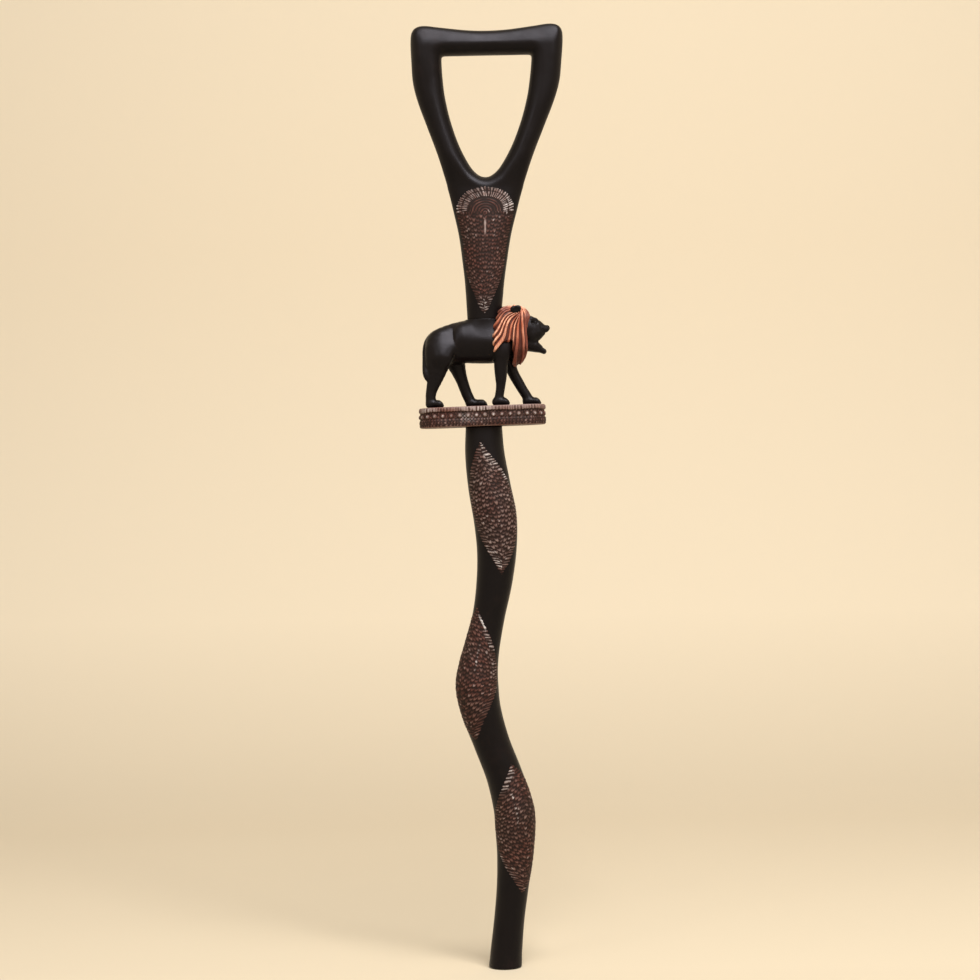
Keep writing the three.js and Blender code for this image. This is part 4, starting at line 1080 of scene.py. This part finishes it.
# %% Helpers for materials
def new_material(name, colour, **values):
    """A material with a Principled shader, and that shader's values that are the same all over."""
    material = bpy.data.materials.new(name)
    material.use_nodes = True
    material.diffuse_color = (*colour, 1)
    shader = material.node_tree.nodes["Principled BSDF"]
    for key, value in values.items():
        shader.inputs[key.replace("_", " ")].default_value = value
    print("material", name)
    return material, material.node_tree, shader


def place_group(tree, group, **inputs):
    """One of the shared groups, set down in a material, with its input values."""
    made = tree.nodes.new("ShaderNodeGroup")
    made.node_tree = group
    for key, value in inputs.items():
        feed(tree, made.inputs[key], value)
    return made.outputs


def mesh_value(tree, name):
    """The value per point that a mesh carries under a name."""
    return node(tree, "ShaderNodeAttribute", attribute_name=name).outputs["Fac"]


def dress(tree, shader, colour, rough, height, depth, strength=0.5):
    """Links a colour and a roughness to a shader, and a height as fine unevenness of the surface."""
    fine = node(tree, "ShaderNodeBump", {"Height": height, "Distance": depth, "Strength": strength})
    for name, value in (("Base Color", colour), ("Roughness", rough), ("Normal", fine.outputs[0])):
        feed(tree, shader.inputs[name], value)


# %% Black wood
black_wood, tree, shader = new_material("black_wood", (0.012, 0.01, 0.009), Roughness=0.38,
                                        Specular_IOR_Level=0.16, Specular_Tint=(0.93, 0.89, 1.0, 1))
grain = place_group(tree, grain_group, Scale=260.0, Stretch=0.06)
wear = place_group(tree, wear_group, Amount=0.55)
colour = mix_colour(tree, grain["Fibre"], (0.0018, 0.0014, 0.0016), (0.0046, 0.0032, 0.0030))
colour = mix_colour(tree, wear["Worn"], colour, (0.018, 0.009, 0.007))
rough = ramp(tree, grain["Cloud"], [(0.3, 0.30), (0.7, 0.46)])
rough = arithmetic(tree, "ADD", rough, arithmetic(tree, "MULTIPLY", wear["Worn"], 0.12))
height = arithmetic(tree, "ADD", arithmetic(tree, "MULTIPLY", grain["Fibre"], 0.6),
                    arithmetic(tree, "MULTIPLY", wear["Scratch"], -0.5))
dress(tree, shader, colour, rough, height, 0.00025, 0.6)

# %% Carved brown wood
carved_wood, tree, shader = new_material("carved_wood", (0.07, 0.036, 0.027), Roughness=0.5,
                                         Specular_IOR_Level=0.2)
grain = place_group(tree, grain_group, Scale=420.0, Stretch=0.25)
patches = ramp(tree, grain["Cloud"], [(0.38, 0.0), (0.62, 1.0)])
middle = mix_colour(tree, patches, (0.084, 0.026, 0.018), (0.080, 0.039, 0.030))
crest = mix_colour(tree, patches, (0.160, 0.076, 0.058), (0.240, 0.156, 0.130))
cut = mesh_value(tree, "cut")
shade = place_group(tree, cut_group, Cut=cut, Recess=(0.011, 0.0040, 0.0028), Middle=middle, Crest=crest)
# Glint: pale rubbed wood and painted highlights, mixed towards an almost white colour.
pale_wear_and_highlight = ramp(tree, grain["Fibre"], [(0.38, 0.35), (0.62, 1.0)])
pale_wear_and_highlight = arithmetic(tree, "MULTIPLY", mesh_value(tree, "glint"), pale_wear_and_highlight)
colour = mix_colour(tree, pale_wear_and_highlight, shade["Colour"], (0.72, 0.65, 0.61))
rough = ramp(tree, cut, [(0.0, 0.40), (0.8, 0.62)])
dress(tree, shader, colour, rough, grain["Fibre"], 0.0002)

# %% Painted mane
mane_paint, tree, shader = new_material("mane_paint", (0.3, 0.11, 0.065), Roughness=0.5,
                                        Specular_IOR_Level=0.3)
grain = place_group(tree, grain_group, Scale=520.0, Stretch=0.2)
low, bright = mesh_value(tree, "low"), mesh_value(tree, "bright")
crest = mix_colour(tree, bright, (0.52, 0.145, 0.070), (1.0, 0.53, 0.34))
# Low gives the darker paint at the lower front and top rear of the mane, and the painted shade on its side
# towards the head.
crest = mix_colour(tree, low, crest, (0.23, 0.060, 0.038))
middle = mix_colour(tree, bright, (0.25, 0.036, 0.016), (0.68, 0.19, 0.080))
middle = mix_colour(tree, low, middle, (0.090, 0.016, 0.009))
cut = mesh_value(tree, "cut")
shade = place_group(tree, cut_group, Cut=cut, Recess=(0.055, 0.012, 0.008), Middle=middle, Crest=crest)
streak = ramp(tree, grain["Fibre"], [(0.45, 0.0), (0.72, 0.7)])
colour = mix_colour(tree, streak, shade["Colour"], (0.15, 0.040, 0.022))
rough = ramp(tree, grain["Cloud"], [(0.3, 0.42), (0.7, 0.6)])
dress(tree, shader, colour, rough, grain["Fibre"], 0.0002)

# %% Bare dowel wood
pale_wood, tree, shader = new_material("pale_wood", (0.55, 0.36, 0.2), Roughness=0.7)
grain = place_group(tree, grain_group, Scale=380.0, Stretch=0.08)
colour = mix_colour(tree, grain["Fibre"], (0.42, 0.25, 0.13), (0.64, 0.45, 0.27))
rough = ramp(tree, grain["Cloud"], [(0.3, 0.62), (0.7, 0.8)])
dress(tree, shader, colour, rough, grain["Fibre"], 0.0003)

# %% Give each piece its finish
FINISHES = {"black_wood": black_wood, "carved_wood": carved_wood, "mane_paint": mane_paint,
            "pale_wood": pale_wood}
slots = {part["node"]: part["material_slot"] for part in frame["record"]["subparts"]}
for piece in [o for o in bpy.context.scene.objects if o.type == "MESH"]:
    slot = piece.get("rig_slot") or slots.get(piece.name)
    piece.data.materials.clear()
    piece.data.materials.append(FINISHES[slot])
    print(piece.name, slot)

# %% [markdown]
# ## Stage and light
#
# A plain cream sheet: a floor that curves up into a wall, so there is no corner behind the stick. Seen from
# behind, the wall lets the view through to the same cream all round. The floor is darker under the lamps,
# so that it stays within the range of the picture. The main light is soft and comes from above and a little
# from the right. It draws the sheen on the bar of the handle and on the lion's back and haunch, and two
# weak lamps at the sides draw the pale lines along the arms of the handle.

# %% Stage
CREAM = (0.84, 0.704, 0.51)
FLOOR = (0.70, 0.585, 0.42)
HALF_WIDTH, COLUMNS = 2.7, 19
NEAR, FLAT_END, FLAT_ROWS, BEND = -1.8, 0.6, 12, 0.9
BELOW_TIP = 0.0008
across = np.linspace(-HALF_WIDTH, HALF_WIDTH, COLUMNS)
bend = np.linspace(0, np.pi / 2, 16)
flat = np.linspace(NEAR, FLAT_END, FLAT_ROWS)
depth = np.concatenate([flat, BEND + BEND * np.sin(bend), [2 * BEND, 2 * BEND]])
level = np.concatenate([np.zeros(FLAT_ROWS), BEND * (1 - np.cos(bend)), [2.2, 4.0]]) - BELOW_TIP
u, v = np.meshgrid(across, np.arange(len(depth)))
points = np.stack([u, depth[v], level[v]], -1).reshape(-1, 3)
a = (np.arange(len(depth) - 1)[:, None] * COLUMNS + np.arange(COLUMNS - 1)[None, :]).ravel()
faces = np.stack([a, a + 1, a + COLUMNS + 1, a + COLUMNS], -1).tolist()
room = smooth_mesh("room", points, faces)
room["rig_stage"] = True
cream, tree, shader = new_material("cream_wall", CREAM, Roughness=0.95, Specular_IOR_Level=0.0)
place = node(tree, "ShaderNodeSeparateXYZ", {0: node(tree, "ShaderNodeTexCoord").outputs["Object"]})
sheet = ramp(tree, place.outputs[2], [(0.02, FLOOR), (0.25, CREAM)])
forward = arithmetic(tree, "MULTIPLY", place.outputs[1], -1.0)
under_lamps = ramp(tree, forward, [(0.02, 1.0), (0.5, 0.78)])
sheet = mix_colour(tree, 1.0, sheet, under_lamps, "MULTIPLY")
feed(tree, shader.inputs["Base Color"], sheet)
behind = node(tree, "ShaderNodeNewGeometry").outputs["Backfacing"]
clear = node(tree, "ShaderNodeBsdfTransparent").outputs[0]
open_back = node(tree, "ShaderNodeMixShader", {0: behind, 1: shader.outputs[0], 2: clear})
feed(tree, tree.nodes["Material Output"].inputs["Surface"], open_back.outputs[0])
room.data.materials.append(cream)
print("room", len(points), "points")

# %% Light
world = bpy.data.worlds.new("sky")
bpy.context.scene.world = world
world.use_nodes = True
tree = world.node_tree
path = node(tree, "ShaderNodeLightPath")
turned = arithmetic(tree, "MAXIMUM", path.outputs["Is Glossy Ray"], path.outputs["Is Transmission Ray"])
seen = arithmetic(tree, "MAXIMUM", path.outputs["Is Camera Ray"], turned)
sky = node(tree, "ShaderNodeBackground", {"Color": (0.93, 0.96, 1.0), "Strength": 0.33})
around_it = node(tree, "ShaderNodeBackground", {"Color": (0.922, 0.745, 0.515), "Strength": 1.0})
both_skies = node(tree, "ShaderNodeMixShader", {0: seen, 1: sky.outputs[0], 2: around_it.outputs[0]})
feed(tree, tree.nodes["World Output"].inputs["Surface"], both_skies.outputs[0])


def soft_box(name, place, aim, size, power):
    """A square lamp that looks from its place at a point."""
    lamp = bpy.data.lights.new(name, "AREA")
    lamp.energy, lamp.size = power, size
    made = bpy.data.objects.new(name, lamp)
    made.location = place
    made.rotation_euler = (Vector(aim) - Vector(place)).to_track_quat("-Z", "Y").to_euler()
    bpy.context.scene.collection.objects.link(made)
    print("lamp", name, power, "W")


# Name, place, the point it looks at, size in metres and power in watts.
for lamp in (("key", (0.45, -1.3, 2.6), (0, 0.1, 0.6), 1.5, 93),
             ("fill", (-1.6, -2.2, 2.1), (0, 0.3, 0.4), 1.1, 9),
             ("side", (1.8, -2.1, 2.0), (0, 0.3, 0.5), 0.8, 10)):
    soft_box(*lamp)
bpy.context.scene.view_settings.view_transform = "Standard"

# %% Finish
low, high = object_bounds()
